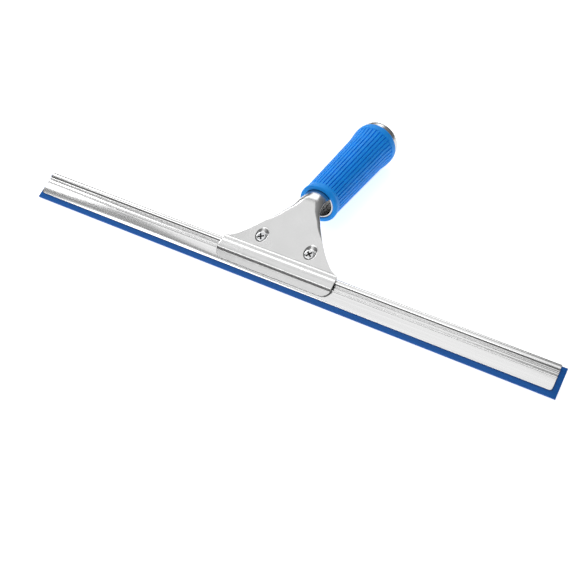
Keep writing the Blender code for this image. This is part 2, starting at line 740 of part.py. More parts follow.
def grip_profile():
    """Closed (g, radius) loop of the sleeve: outside front to back, inside back to front."""
    rim = GRIP_RIM_ROUND
    outside = [
        (0.0, GRIP_RIM_RADIUS - rim),
        (0.3 * rim, GRIP_RIM_RADIUS - 0.3 * rim),
        (rim, GRIP_RIM_RADIUS),
        (GRIP_RIM_LENGTH, GRIP_RIM_RADIUS),
        (GRIP_RIB_START_G - 1.5 * MM, GRIP_FRONT_RADIUS),
        (GRIP_RIB_START_G, GRIP_FRONT_RADIUS),
    ]
    spans = 4
    for step in range(1, spans + 1):
        share = step / spans
        outside.append((GRIP_RIB_START_G + (GRIP_WAIST_G - GRIP_RIB_START_G) * share,
                        GRIP_FRONT_RADIUS + (GRIP_BACK_RADIUS - GRIP_FRONT_RADIUS) * share))
    for share in (0.3, 0.6, 0.85):
        g = GRIP_WAIST_G + (GRIP_FLARE_G - GRIP_WAIST_G) * share
        flare = ease(share, 0.0, 1.0)
        outside.append((g, GRIP_BACK_RADIUS + (GRIP_FLARE_RADIUS - GRIP_BACK_RADIUS) * flare))
    outside += [
        (GRIP_FLARE_G, GRIP_FLARE_RADIUS),
        (GRIP_LENGTH - 0.5 * MM, GRIP_FLARE_RADIUS - 0.1 * MM),
        (GRIP_LENGTH, GRIP_FLARE_RADIUS - 0.4 * MM),
    ]
    bell_steps = 4
    inside = [
        (GRIP_LENGTH, tube_radius(GRIP_LENGTH) + GAP),
        (TUBE_BELL_G, tube_radius(TUBE_BELL_G) + GAP),
    ]
    for step in range(bell_steps - 1, -1, -1):
        g = TUBE_CONE_G + (TUBE_BELL_G - TUBE_CONE_G) * step / bell_steps
        inside.append((g, tube_radius(g) + GAP))
    inside.append((0.0, tube_radius(0.0) + GAP))
    return outside, inside


def make_grip(collection):
    """Ribbed grip sleeve, turned about the handle's axis."""
    outside, inside = grip_profile()
    loop = outside + inside
    steps = GRIP_RIB_COUNT * 4
    bm = bmesh.new()
    verts = [bm.verts.new((radius, 0, g)) for g, radius in loop]
    edges = [bm.edges.new(pair) for pair in zip(verts, verts[1:] + verts[:1])]
    bmesh.ops.spin(bm, geom=verts + edges, cent=(0, 0, 0), axis=(0, 0, 1), angle=math.tau,
                   steps=steps, use_merge=True)
    bmesh.ops.remove_doubles(bm, verts=bm.verts, dist=1e-7)
    for vert in bm.verts:
        g = vert.co.z
        radius = math.hypot(vert.co.x, vert.co.y)
        column = round(math.atan2(vert.co.y, vert.co.x) / math.tau * steps) % 4
        ribbed = GRIP_RIB_START_G + 0.1 * MM < g < GRIP_RIB_END_G
        if ribbed and column == 0 and radius > tube_radius(g) + 1.0 * MM:
            scale = (radius - GRIP_GROOVE_DEPTH) / radius
            vert.co.x *= scale
            vert.co.y *= scale
    grip = add_mesh("grip_sleeve", bm, collection, RUBBER_GRIP, handle_frame())
    smooth(grip, 24.0)
    return grip


def main():
    """Build the squeegee."""
    for obj in list(bpy.data.objects):
        bpy.data.objects.remove(obj, do_unlink=True)
    parts = new_collection(NAME)
    cutters = new_collection(f"{NAME}_cutters", hidden=True)
    make_handle(parts, cutters)
    make_grip(parts)
    make_lower_jaw(parts, cutters)
    make_channel(parts, cutters)
    make_rubber(parts)
    for side in ("left", "right"):
        make_screw(side, parts, cutters)
        make_nut(side, parts, cutters)


main()
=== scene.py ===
"""Window cleaning squeegee: the visible surfaces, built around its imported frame.

The squeegee lies face up: X runs along the blade, Y from the blade to the end of
the handle and Z up. Two directions serve every piece near the blade: u runs up
the blade from its working edge, and n stands out of its front face. Along the
handle, g runs down its axis from the front of the grip. Lengths are in metres.
"""

import logging
import math
from dataclasses import dataclass, field
from enum import Enum
from typing import Callable, Sequence

import bmesh
import bpy
from mathutils import Matrix, Vector


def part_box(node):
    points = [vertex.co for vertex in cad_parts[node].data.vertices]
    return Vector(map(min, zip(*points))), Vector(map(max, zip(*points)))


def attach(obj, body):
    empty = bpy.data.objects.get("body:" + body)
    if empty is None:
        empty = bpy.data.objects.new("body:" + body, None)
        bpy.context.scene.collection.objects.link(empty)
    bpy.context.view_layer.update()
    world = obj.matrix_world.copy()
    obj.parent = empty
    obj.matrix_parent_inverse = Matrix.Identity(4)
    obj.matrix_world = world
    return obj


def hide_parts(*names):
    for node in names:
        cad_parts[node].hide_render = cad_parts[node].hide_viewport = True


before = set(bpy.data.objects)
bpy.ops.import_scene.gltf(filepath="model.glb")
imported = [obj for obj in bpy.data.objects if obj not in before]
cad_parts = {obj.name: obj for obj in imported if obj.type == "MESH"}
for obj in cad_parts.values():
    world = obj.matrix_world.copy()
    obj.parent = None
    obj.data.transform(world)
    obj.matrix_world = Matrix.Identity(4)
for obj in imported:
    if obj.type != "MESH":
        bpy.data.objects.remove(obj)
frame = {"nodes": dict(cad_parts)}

LOG = logging.getLogger("squeegee")
MM = 0.001
MERGE = 1e-7

Profile = list[tuple[float, float]]
Colour = tuple[float, float, float, float]


# --------------------------------------------------------------------------
# Curves and places
# --------------------------------------------------------------------------


def ease(value: float, low: float, high: float) -> float:
    """Smooth step.

    Args:
        value: where on the ramp.
        low: where the ramp leaves 0.
        high: where it reaches 1.

    Returns:
        A share from 0 to 1.
    """
    t = min(max((value - low) / (high - low), 0.0), 1.0)
    return t * t * (3 - 2 * t)


def follow(table: Sequence[tuple[float, float]], at: float) -> float:
    """Smooth value through a short table of (place, value) pairs.

    Args:
        table: pairs in rising order of place.
        at: the place to read.

    Returns:
        The value there, with no overshoot between equal neighbours.
    """
    last = len(table) - 1
    index = 0
    while index < last - 1 and at > table[index + 1][0]:
        index += 1
    x0, y0 = table[index]
    x1, y1 = table[index + 1]
    span = x1 - x0
    rise = (y1 - y0) / span
    slopes = []
    for middle in (index, index + 1):
        if middle in (0, last):
            slopes.append(rise)
            continue
        before = (table[middle][1] - table[middle - 1][1]) / (table[middle][0] - table[middle - 1][0])
        after = (table[middle + 1][1] - table[middle][1]) / (table[middle + 1][0] - table[middle][0])
        slopes.append(0.0 if before * after <= 0 else 2 * before * after / (before + after))
    t = min(max((at - x0) / span, 0.0), 1.0)
    return ((2 * t ** 3 - 3 * t ** 2 + 1) * y0 + (t ** 3 - 2 * t ** 2 + t) * span * slopes[0]
            + (3 * t ** 2 - 2 * t ** 3) * y1 + (t ** 3 - t ** 2) * span * slopes[1])


def spread(low: float, high: float, count: int) -> list[float]:
    """Evenly spaced places from low to high, both included."""
    return [low + (high - low) * step / count for step in range(count + 1)]


def arc(centre: tuple[float, float], radius: float, start: float, end: float, count: int) -> Profile:
    """Points on an arc of a profile.

    Args:
        centre: the arc's centre.
        radius: its radius.
        start: first angle in degrees from the profile's first axis.
        end: last angle in degrees.
        count: number of chords.

    Returns:
        count + 1 points.
    """
    points = []
    for angle in spread(math.radians(start), math.radians(end), count):
        points.append((centre[0] + radius * math.cos(angle), centre[1] + radius * math.sin(angle)))
    return points


@dataclass(frozen=True)
class BladePlane:
    """Middle plane of the rubber blade, on which channel, jaws and screws are laid out."""

    tilt: float
    thickness: float
    edge_y: float
    centre_x: float

    def point(self, x: float, u: float, n: float) -> Vector:
        """World place of a point given from the channel's middle."""
        lifted = n + self.thickness / 2
        return Vector((
            self.centre_x + x,
            self.edge_y + u * math.cos(self.tilt) - lifted * math.sin(self.tilt),
            u * math.sin(self.tilt) + lifted * math.cos(self.tilt),
        ))

    def frame(self, x: float, u: float, n: float) -> Matrix:
        """Frame there with local X along the blade, Y up it and Z out of its front."""
        return Matrix.Translation(self.point(x, u, n)) @ Matrix.Rotation(self.tilt, 4, "X")


@dataclass(frozen=True)
class HandleAxis:
    """Axis of the tube and the grip, which drops a little towards the rear."""

    start_y: float
    start_z: float
    drop: float
    centre_x: float

    def point(self, g: float, rise: float = 0.0) -> tuple[float, float]:
        """(y, z) at g along the axis and rise above it."""
        y = self.start_y + g * math.cos(self.drop) + rise * math.sin(self.drop)
        z = self.start_z - g * math.sin(self.drop) + rise * math.cos(self.drop)
        return y, z

    def frame(self) -> Matrix:
        """Frame at the grip's front with local Z along the axis and local Y down."""
        turn = Matrix.Rotation(-math.pi / 2 - self.drop, 4, "X")
        return Matrix.Translation((self.centre_x, self.start_y, self.start_z)) @ turn


def find_blade_plane() -> BladePlane:
    """The blade's plane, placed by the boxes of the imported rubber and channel."""
    tilt = math.radians(24.0)
    thickness = 2.0 * MM
    rubber_low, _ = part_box("rubber_blade")
    channel_low, channel_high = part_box("channel")
    return BladePlane(tilt, thickness, rubber_low[1] + thickness * math.sin(tilt),
                      (channel_low[0] + channel_high[0]) / 2)


def find_handle_axis(plane: BladePlane) -> HandleAxis:
    """The handle's axis, whose flare rests on the floor with the blade's edge."""
    height = 24.4 * MM
    flare_radius = 20.3 * MM
    flare_g = 104.5 * MM
    return HandleAxis(plane.edge_y + 84.6 * MM, height, math.asin((height - flare_radius) / flare_g),
                      plane.centre_x)


# --------------------------------------------------------------------------
# Materials
# --------------------------------------------------------------------------


def linear(code: str) -> Colour:
    """Linear colour from an sRGB hex code.

    Args:
        code: six hex digits.

    Returns:
        Red, green, blue and an alpha of 1.
    """
    channels = []
    for start in (0, 2, 4):
        value = int(code[start:start + 2], 16) / 255
        channels.append(value / 12.92 if value <= 0.04045 else ((value + 0.055) / 1.055) ** 2.4)
    return (*channels, 1.0)


def add_node(tree: bpy.types.NodeTree, kind: str, values: dict | None = None,
             links: dict | None = None, **settings: object) -> bpy.types.Node:
    """Add one node with its settings, input values and incoming links.

    Args:
        tree: the node tree.
        kind: the node's type name.
        values: input socket name or number to its value.
        links: input socket name or number to the socket that feeds it.
        **settings: properties of the node itself.

    Returns:
        The new node.
    """
    node = tree.nodes.new(kind)
    for name, value in settings.items():
        setattr(node, name, value)
    for socket, value in (values or {}).items():
        node.inputs[socket].default_value = value
    for socket, source in (links or {}).items():
        tree.links.new(source, node.inputs[socket])
    return node


def add_ramp(tree: bpy.types.NodeTree, source: bpy.types.NodeSocket,
             stops: Sequence[tuple[float, Colour]]) -> bpy.types.NodeSocket:
    """Colour ramp over a value.

    Args:
        tree: the node tree.
        source: the value's socket.
        stops: (place, colour) pairs in rising order.

    Returns:
        The ramp's colour socket.
    """
    ramp = add_node(tree, "ShaderNodeValToRGB", links={"Fac": source})
    elements = ramp.color_ramp.elements
    while len(elements) < len(stops):
        elements.new(0.5)
    for element, (place, colour) in zip(elements, stops):
        element.position = place
        element.color = colour
    return ramp.outputs["Color"]


def add_range(tree: bpy.types.NodeTree, source: bpy.types.NodeSocket, low: float,
              high: float, from_low: float = 0.0, from_high: float = 1.0) -> bpy.types.NodeSocket:
    """Socket that carries a value from one range to another."""
    node = add_node(tree, "ShaderNodeMapRange", {"From Min": from_low, "From Max": from_high,
                                                 "To Min": low, "To Max": high}, {"Value": source})
    return node.outputs["Result"]


@dataclass(frozen=True)
class Finish:
    """A material and the process that made its surface."""

    name: str

    def material(self) -> bpy.types.Material:
        """The finish's material, made once."""
        known = bpy.data.materials.get(self.name)
        if known:
            return known
        material = bpy.data.materials.new(self.name)
        material.use_nodes = True
        self.wire(material.node_tree, material.node_tree.nodes["Principled BSDF"])
        return material

    def wire(self, tree: bpy.types.NodeTree, shader: bpy.types.Node) -> None:
        """Set the shader's sockets and link its patterns."""
        raise NotImplementedError

    def object_space(self, tree: bpy.types.NodeTree, turn: float = 0.0,
                     scale: tuple[float, float, float] = (1, 1, 1)) -> bpy.types.NodeSocket:
        """Object coordinates, turned about X and scaled by axis.

        Args:
            tree: the node tree.
            turn: the turn about X in radians that lays Y and Z on the piece.
            scale: the factor on each turned axis.

        Returns:
            The vector's socket.
        """
        coords = add_node(tree, "ShaderNodeTexCoord")
        turned = add_node(tree, "ShaderNodeMapping", {"Rotation": (turn, 0, 0)},
                          {"Vector": coords.outputs["Object"]})
        scaled = add_node(tree, "ShaderNodeVectorMath", {1: scale}, {0: turned.outputs["Vector"]},
                          operation="MULTIPLY")
        return scaled.outputs["Vector"]


@dataclass(frozen=True)
class SatinSteel(Finish):
    """Cold-rolled stainless sheet, stamped and tumbled: an even grey satin without
    direction, faintly cloudy, with a fine grain that only softens reflections."""

    colour: str = "cfcfcf"
    cloud_colour: str = "cacaca"
    roughness: tuple[float, float] = (0.24, 0.28)
    cloud_size: float = 14.0 * MM
    grain_size: float = 0.35 * MM
    grain_depth: float = 0.004 * MM

    def wire(self, tree: bpy.types.NodeTree, shader: bpy.types.Node) -> None:
        """Set the shader's sockets and link its patterns."""
        space = self.object_space(tree)
        cloud = add_node(tree, "ShaderNodeTexNoise", {"Scale": 1 / self.cloud_size, "Detail": 4.0,
                                                      "Roughness": 0.6}, {"Vector": space})
        grain = add_node(tree, "ShaderNodeTexNoise", {"Scale": 1 / self.grain_size, "Detail": 2.0},
                         {"Vector": space})
        colour = add_ramp(tree, cloud.outputs["Fac"], [(0.3, linear(self.cloud_colour)),
                                                       (0.7, linear(self.colour))])
        roughness = add_range(tree, cloud.outputs["Fac"], *self.roughness, 0.3, 0.7)
        bump = add_node(tree, "ShaderNodeBump", {"Strength": 1.0, "Distance": self.grain_depth},
                        {"Height": grain.outputs["Fac"]})
        tree.links.new(colour, shader.inputs["Base Color"])
        tree.links.new(roughness, shader.inputs["Roughness"])
        tree.links.new(bump.outputs["Normal"], shader.inputs["Normal"])
        shader.inputs["Metallic"].default_value = 1.0


@dataclass(frozen=True)
class RolledSteel(Finish):
    """Stainless strip, roll-formed: brighter than the stamped sheet, with fine lines
    that the rollers drew along its length."""

    tilt: float = 0.0
    colour: str = "dedede"
    line_colour: str = "d6d6d6"
    roughness: tuple[float, float] = (0.13, 0.17)
    line_width: float = 1.6 * MM
    line_length: float = 160.0 * MM
    line_depth: float = 0.001 * MM

    def wire(self, tree: bpy.types.NodeTree, shader: bpy.types.Node) -> None:
        """Set the shader's sockets and link its patterns."""
        along = 1 / self.line_length
        across = 1 / self.line_width
        lines = self.object_space(tree, -self.tilt, (along, across, across))
        noise = add_node(tree, "ShaderNodeTexNoise", {"Scale": 1.0, "Detail": 1.0}, {"Vector": lines})
        colour = add_ramp(tree, noise.outputs["Fac"], [(0.35, linear(self.line_colour)),
                                                       (0.65, linear(self.colour))])
        roughness = add_range(tree, noise.outputs["Fac"], *self.roughness, 0.3, 0.7)
        bump = add_node(tree, "ShaderNodeBump", {"Strength": 1.0, "Distance": self.line_depth},
                        {"Height": noise.outputs["Fac"]})
        tree.links.new(colour, shader.inputs["Base Color"])
        tree.links.new(roughness, shader.inputs["Roughness"])
        tree.links.new(bump.outputs["Normal"], shader.inputs["Normal"])
        shader.inputs["Metallic"].default_value = 1.0


@dataclass(frozen=True)
class PlatedSteel(Finish):
    """Cold-headed steel, bright zinc plated: small, shiny and faintly blotched."""

    colour: str = "d9dadb"
    shadow_colour: str = "bcbdbf"
    roughness: tuple[float, float] = (0.14, 0.24)
    blotch_size: float = 2.5 * MM

    def wire(self, tree: bpy.types.NodeTree, shader: bpy.types.Node) -> None:
        """Set the shader's sockets and link its patterns."""
        noise = add_node(tree, "ShaderNodeTexNoise", {"Scale": 1 / self.blotch_size, "Detail": 4.0},
                         {"Vector": self.object_space(tree)})
        colour = add_ramp(tree, noise.outputs["Fac"], [(0.35, linear(self.shadow_colour)),
                                                       (0.6, linear(self.colour))])
        tree.links.new(colour, shader.inputs["Base Color"])
        tree.links.new(add_range(tree, noise.outputs["Fac"], *self.roughness), shader.inputs["Roughness"])
        shader.inputs["Metallic"].default_value = 1.0


@dataclass(frozen=True)
class CrossRecessPaintedShade(Finish):
    """Floor and walls of a screw's cross recess, in painted shade: a dull, nearly black colour that stands in for
    the shade inside the cross, with fine random tone."""

    # Both colours are painted shade for the dark inside of the cross, not dirt.
    colour: str = "1c1c1d"
    paler_shade_colour: str = "2c2b2a"
    roughness: float = 0.6
    grain_size: float = 0.4 * MM

    def wire(self, tree: bpy.types.NodeTree, shader: bpy.types.Node) -> None:
        """Set the shader's sockets and link its patterns."""
        noise = add_node(tree, "ShaderNodeTexNoise", {"Scale": 1 / self.grain_size, "Detail": 2.0},
                         {"Vector": self.object_space(tree)})
        colour = add_ramp(tree, noise.outputs["Fac"], [(0.4, linear(self.colour)),
                                                       (0.7, linear(self.paler_shade_colour))])
        tree.links.new(colour, shader.inputs["Base Color"])
        shader.inputs["Roughness"].default_value = self.roughness


@dataclass(frozen=True)
class BladeRubber(Finish):
    """Extruded rubber strip with cut ends: smooth and matte, with faint drag lines
    along its length."""

    tilt: float = 0.0
    colour: str = "0a60b4"
    line_colour: str = "0858a8"
    roughness: tuple[float, float] = (0.42, 0.55)
    line_width: float = 0.8 * MM
    line_length: float = 90.0 * MM
    grain_size: float = 0.4 * MM
    grain_depth: float = 0.01 * MM

    def wire(self, tree: bpy.types.NodeTree, shader: bpy.types.Node) -> None:
        """Set the shader's sockets and link its patterns."""
        along = 1 / self.line_length
        across = 1 / self.line_width
        lines = self.object_space(tree, -self.tilt, (along, across, across))
        drag = add_node(tree, "ShaderNodeTexNoise", {"Scale": 1.0, "Detail": 2.0}, {"Vector": lines})
        grain = add_node(tree, "ShaderNodeTexNoise", {"Scale": 1 / self.grain_size, "Detail": 2.0},
                         {"Vector": self.object_space(tree)})
        colour = add_ramp(tree, drag.outputs["Fac"], [(0.35, linear(self.line_colour)),
                                                      (0.65, linear(self.colour))])
        bump = add_node(tree, "ShaderNodeBump", {"Strength": 1.0, "Distance": self.grain_depth},
                        {"Height": grain.outputs["Fac"]})
        tree.links.new(colour, shader.inputs["Base Color"])
        tree.links.new(add_range(tree, drag.outputs["Fac"], *self.roughness), shader.inputs["Roughness"])
        tree.links.new(bump.outputs["Normal"], shader.inputs["Normal"])
        shader.inputs["Specular IOR Level"].default_value = 0.25


@dataclass(frozen=True)
class GripRubber(Finish):
    """Moulded thermoplastic rubber: matte with a fine spark-eroded grain, a little
    darker in patches where hands have polished it."""

    colour: str = "0c9cff"
    worn_colour: str = "0c94f6"
    roughness: tuple[float, float] = (0.45, 0.58)
    patch_size: float = 9.0 * MM
    grain_size: float = 0.3 * MM
    grain_depth: float = 0.02 * MM

    def wire(self, tree: bpy.types.NodeTree, shader: bpy.types.Node) -> None:
        """Set the shader's sockets and link its patterns."""
        space = self.object_space(tree)
        patch = add_node(tree, "ShaderNodeTexNoise", {"Scale": 1 / self.patch_size, "Detail": 3.0},
                         {"Vector": space})
        grain = add_node(tree, "ShaderNodeTexNoise", {"Scale": 1 / self.grain_size, "Detail": 2.0},
                         {"Vector": space})
        colour = add_ramp(tree, patch.outputs["Fac"], [(0.35, linear(self.worn_colour)),
                                                       (0.65, linear(self.colour))])
        bump = add_node(tree, "ShaderNodeBump", {"Strength": 1.0, "Distance": self.grain_depth},
                        {"Height": grain.outputs["Fac"]})
        tree.links.new(colour, shader.inputs["Base Color"])
        tree.links.new(add_range(tree, patch.outputs["Fac"], *self.roughness), shader.inputs["Roughness"])
        tree.links.new(bump.outputs["Normal"], shader.inputs["Normal"])
        shader.inputs["Specular IOR Level"].default_value = 0.3


@dataclass(frozen=True)
class PaperFloor(Finish):
    """Seamless white studio paper, lit through from below."""

    colour: str = "dcdcdc"
    glow_colour: str = "ffffff"
    glow: float = 0.8

    def wire(self, tree: bpy.types.NodeTree, shader: bpy.types.Node) -> None:
        """Set the shader's sockets."""
        shader.inputs["Base Color"].default_value = linear(self.colour)
        shader.inputs["Emission Color"].default_value = linear(self.glow_colour)
        shader.inputs["Emission Strength"].default_value = self.glow
        shader.inputs["Roughness"].default_value = 0.9
        shader.inputs["Specular IOR Level"].default_value = 0.1


# --------------------------------------------------------------------------
# Meshes
# --------------------------------------------------------------------------


class Slot(Enum):
    """Material slots of the record."""

    SATIN = "steel_satin"
    BRIGHT = "steel_bright"
    PLATED = "steel_zinc_plated"
    BLADE = "rubber_blade_blue"
    GRIP = "rubber_grip_blue"


def finish_mesh(bm: bmesh.types.BMesh, name: str, finish: Finish, sharp: float = 26.0,
                place: Matrix | None = None) -> bpy.types.Object:
    """Object from a closed bmesh, with its place in its mesh.

    Args:
        bm: the shape, which is freed.
        name: the object's name.
        finish: its finish.
        sharp: the angle in degrees above which an edge stays sharp.
        place: where the shape goes.

    Returns:
        The new object.
    """
    if place:
        bmesh.ops.transform(bm, matrix=place, verts=bm.verts)
    bmesh.ops.recalc_face_normals(bm, faces=bm.faces)
    mesh = bpy.data.meshes.new(name)
    bm.to_mesh(mesh)
    bm.free()
    mesh.shade_smooth()
    mesh.set_sharp_from_angle(angle=math.radians(sharp))
    mesh.materials.append(finish.material())
    obj = bpy.data.objects.new(name, mesh)
    bpy.context.scene.collection.objects.link(obj)
    return obj


def stand_for(obj: bpy.types.Object, node: str, body: str, slot: Slot) -> None:
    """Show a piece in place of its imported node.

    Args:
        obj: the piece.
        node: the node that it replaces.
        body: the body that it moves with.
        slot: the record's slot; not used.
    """
    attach(obj, body)
    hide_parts(node)
    LOG.info("%s: %d faces, rides on %s", obj.name, len(obj.data.polygons), body)


def round_edges(bm: bmesh.types.BMesh, width: float, angle: float = 50.0, segments: int = 2) -> None:
    """Round every edge that is sharper than an angle.

    Args:
        bm: the closed shape.
        width: how far the rounding reaches from the edge.
        angle: the least angle between faces, in degrees.
        segments: number of faces across the rounding.
    """
    limit = math.radians(angle)
    edges = [edge for edge in bm.edges if edge.is_manifold and edge.calc_face_angle(0.0) > limit]
    bmesh.ops.bevel(bm, geom=edges, offset=width, offset_type="OFFSET", affect="EDGES",
                    segments=segments, profile=0.5, material=-1, clamp_overlap=True)


def sweep_outline(outline: Profile, stations: Sequence[float],
                  place: Callable[[float, float, float], Vector]) -> bmesh.types.BMesh:
    """Closed bar: a closed outline carried through stations, with its ends filled.

    Args:
        outline: (u, n) corners in order.
        stations: places along the bar.
        place: world place of (station, u, n).

    Returns:
        The bar.
    """
    bm = bmesh.new()
    corner = bm.verts.layers.int.new("corner")
    ring = bmesh.ops.create_circle(bm, cap_ends=True, segments=len(outline), radius=1.0)["verts"]
    for index, vert in enumerate(ring):
        vert[corner] = index
        vert.co = place(stations[0], *outline[index])
    edges = list(bm.edges)
    for station in stations[1:]:
        grown = bmesh.ops.extrude_edge_only(bm, edges=edges)["geom"]
        edges = [item for item in grown if isinstance(item, bmesh.types.BMEdge)]
        for vert in grown:
            if isinstance(vert, bmesh.types.BMVert):
                vert.co = place(station, *outline[vert[corner]])
    bmesh.ops.edgeloop_fill(bm, edges=edges)
    return bm


def turn_profile(profile: Profile, steps: int, closed: bool = False) -> bmesh.types.BMesh:
    """Body turned about local Z.

    Args:
        profile: (radius, z) points.
        steps: number of segments round the axis.
        closed: whether the last point joins the first.

    Returns:
        The turned shape.
    """
    bm = bmesh.new()
    verts = [bm.verts.new((radius, 0, z)) for radius, z in profile]
    pairs = list(zip(verts, verts[1:]))
    if closed:
        pairs.append((verts[-1], verts[0]))
    edges = [bm.edges.new(pair) for pair in pairs]
    bmesh.ops.spin(bm, geom=verts + edges, cent=(0, 0, 0), axis=(0, 0, 1), angle=math.tau,
                   steps=steps, use_merge=True)
    bmesh.ops.remove_doubles(bm, verts=bm.verts, dist=MERGE)
    return bm


def mirrored(half: Profile) -> Profile:
    """Closed outline from its front half, listed from the lip up to the crown."""
    return half + [(u, -n) for u, n in reversed(half) if n > 1e-9]


# --------------------------------------------------------------------------
# Rubber blade and channel
# --------------------------------------------------------------------------


@dataclass
class Blade:
    """Flat rubber strip with a round heel along its upper edge."""

    plane: BladePlane
    heel_radius: float = 2.2 * MM
    heel_u: float = 22.5 * MM
    edge_round: float = 0.12 * MM

    def outline(self) -> Profile:
        """Closed (u, n) outline of the strip and its heel."""
        half_thick = self.plane.thickness / 2
        meet = math.degrees(math.asin(half_thick / self.heel_radius))
        half = [(0.0, half_thick)]
        half += arc((self.heel_u, 0), self.heel_radius, 180 - meet, 0, 28)
        return mirrored(half)

    def build(self) -> bpy.types.Object:
        """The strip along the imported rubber's whole length."""
        low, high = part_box("rubber_blade")
        stations = spread(low[0] - self.plane.centre_x, high[0] - self.plane.centre_x, 60)
        bm = sweep_outline(self.outline(), stations, self.plane.point)
        round_edges(bm, self.edge_round)
        return finish_mesh(bm, "blade_strip", BladeRubber("natural_rubber_extruded", self.plane.tilt))


@dataclass
class Channel:
    """One roll-formed strip around the rubber: flat lips, two ridges on each side and
    a round bead over the heel."""

    plane: BladePlane
    gap: float = 0.3 * MM
    sheet: float = 0.8 * MM
    lip_u: float = 4.3 * MM
    corner: float = 2.2 * MM
    heel_radius: float = 2.2 * MM
    heel_u: float = 22.5 * MM
    ridge_us: tuple[float, float] = (15.4 * MM, 18.9 * MM)
    ridge_half: float = 0.85 * MM
    ridge_rise: float = 0.8 * MM
    valley: float = 0.3 * MM
    edge_round: float = 0.12 * MM

    @property
    def outer_face(self) -> float:
        """Distance of the strip's outer face from the rubber's middle."""
        return self.plane.thickness / 2 + self.gap + self.sheet

    def ridge(self, centre_u: float) -> Profile:
        """Front points over one lengthwise ridge."""
        points = []
        for along in spread(-1.0, 1.0, 12):
            rise = self.ridge_rise * 0.5 * (1 + math.cos(math.pi * along))
            points.append((centre_u + self.ridge_half * along, self.outer_face + rise))
        return points

    def outline(self) -> Profile:
        """Closed (u, n) outline: the outside from lip to lip, then the inside back."""
        inner_face = self.outer_face - self.sheet
        bead_inner = self.heel_radius + self.gap
        bead_outer = bead_inner + self.sheet
        outer_meet = math.degrees(math.asin(self.outer_face / bead_outer))
        inner_meet = math.degrees(math.asin(inner_face / bead_inner))
        front = [(self.lip_u, self.outer_face), (self.lip_u + 2 * self.corner, self.outer_face)]
        lower, upper = self.ridge_us
        foot = lower - self.ridge_half
        front += [(foot - 0.75 * MM, self.outer_face), (foot - 0.1 * MM, self.outer_face - self.valley / 2)]
        front += self.ridge(lower)
        foot = upper - self.ridge_half
        front += [(foot - 0.2 * MM, self.outer_face - self.valley)]
        front += self.ridge(upper)
        front += arc((self.heel_u, 0), bead_outer, 180 - outer_meet, 0, 30)
        inside = [(self.lip_u, inner_face), (self.lip_u + 2 * self.corner, inner_face)]
        inside += arc((self.heel_u, 0), bead_inner, 180 - inner_meet, 0, 20)
        return mirrored(front) + list(reversed(mirrored(inside)))

    def stations(self, half: float) -> list[float]:
        """Places along the strip, close together over its rounded lip corners."""
        rounded = [self.corner * (1 - math.cos(angle)) for angle in spread(0.45, math.pi / 2, 7)]
        near = [0.0] + rounded
        left = [inward - half for inward in near]
        middle = spread(self.corner * 1.5 - half, half - self.corner * 1.5, 70)
        return left + middle + [-station for station in reversed(left)]

    def build(self) -> bpy.types.Object:
        """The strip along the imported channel's whole length."""
        low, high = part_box("channel")
        half = (high[0] - low[0]) / 2
        top = self.lip_u + 2 * self.corner

        def place(x: float, u: float, n: float) -> Vector:
            """World place, with the lips cut back round the corners at the ends."""
            inward = half - abs(x)
            if u < top and inward < self.corner:
                cut = self.corner - math.sqrt(self.corner ** 2 - (self.corner - inward) ** 2)
                u = top - (top - u) * (top - self.lip_u - cut) / (top - self.lip_u)
            return self.plane.point(x, u, n)

        bm = sweep_outline(self.outline(), self.stations(half), place)
        round_edges(bm, self.edge_round)
        return finish_mesh(bm, "channel_strip", RolledSteel("stainless_roll_formed", self.plane.tilt))


# --------------------------------------------------------------------------
# Stamped jaws and handle
# --------------------------------------------------------------------------


@dataclass(frozen=True)
class SheetRow:
    """One cross-section of a bent sheet: flat in the middle, curled down at the sides."""

    centre_x: float
    y: float
    z: float
    tilt: float
    half: float
    flat: float
    radius: float
    facing: float = 1.0

    def point(self, reach: float, inset: float) -> Vector:
        """World place on the section.

        Args:
            reach: arc length from the section's middle, negative to the left.
            inset: depth below the sheet's outer face.

        Returns:
            The place.
        """
        length = abs(reach)
        across = length
        drop = inset
        if length > self.flat:
            angle = (length - self.flat) / self.radius
            across = self.flat + (self.radius - inset) * math.sin(angle)
            drop = self.radius - (self.radius - inset) * math.cos(angle)
        drop *= self.facing
        return Vector((self.centre_x + math.copysign(across, reach), self.y + drop * math.sin(self.tilt),
                       self.z - drop * math.cos(self.tilt)))


@dataclass(frozen=True)
class Oval:
    """A closed oval at a depth below a sheet's outer face, shifted along local Y."""

    half_width: float
    half_length: float
    depth: float
    shift: float = 0.0

    def point(self, step: int, steps: int) -> Vector:
        """Local place at one of the evenly spaced steps round the oval."""
        angle = math.tau * step / steps
        return Vector((self.half_width * math.cos(angle),
                       self.shift + self.half_length * math.sin(angle), -self.depth))

    def holds(self, place: Vector, margin: float) -> bool:
        """Whether a local place lies within the oval grown by a margin."""
        across = place.x / (self.half_width + margin)
        along = (place.y - self.shift) / (self.half_length + margin)
        return across ** 2 + along ** 2 < 1.0


@dataclass(frozen=True)
class Opening:
    """A feature pressed or punched into a flat sheet, as rings from outside inwards:
    each is an oval on the outer face and its partner on the inner face."""

    frame: Matrix
    rings: tuple[tuple[Oval, Oval], ...]
    segments: int = 96


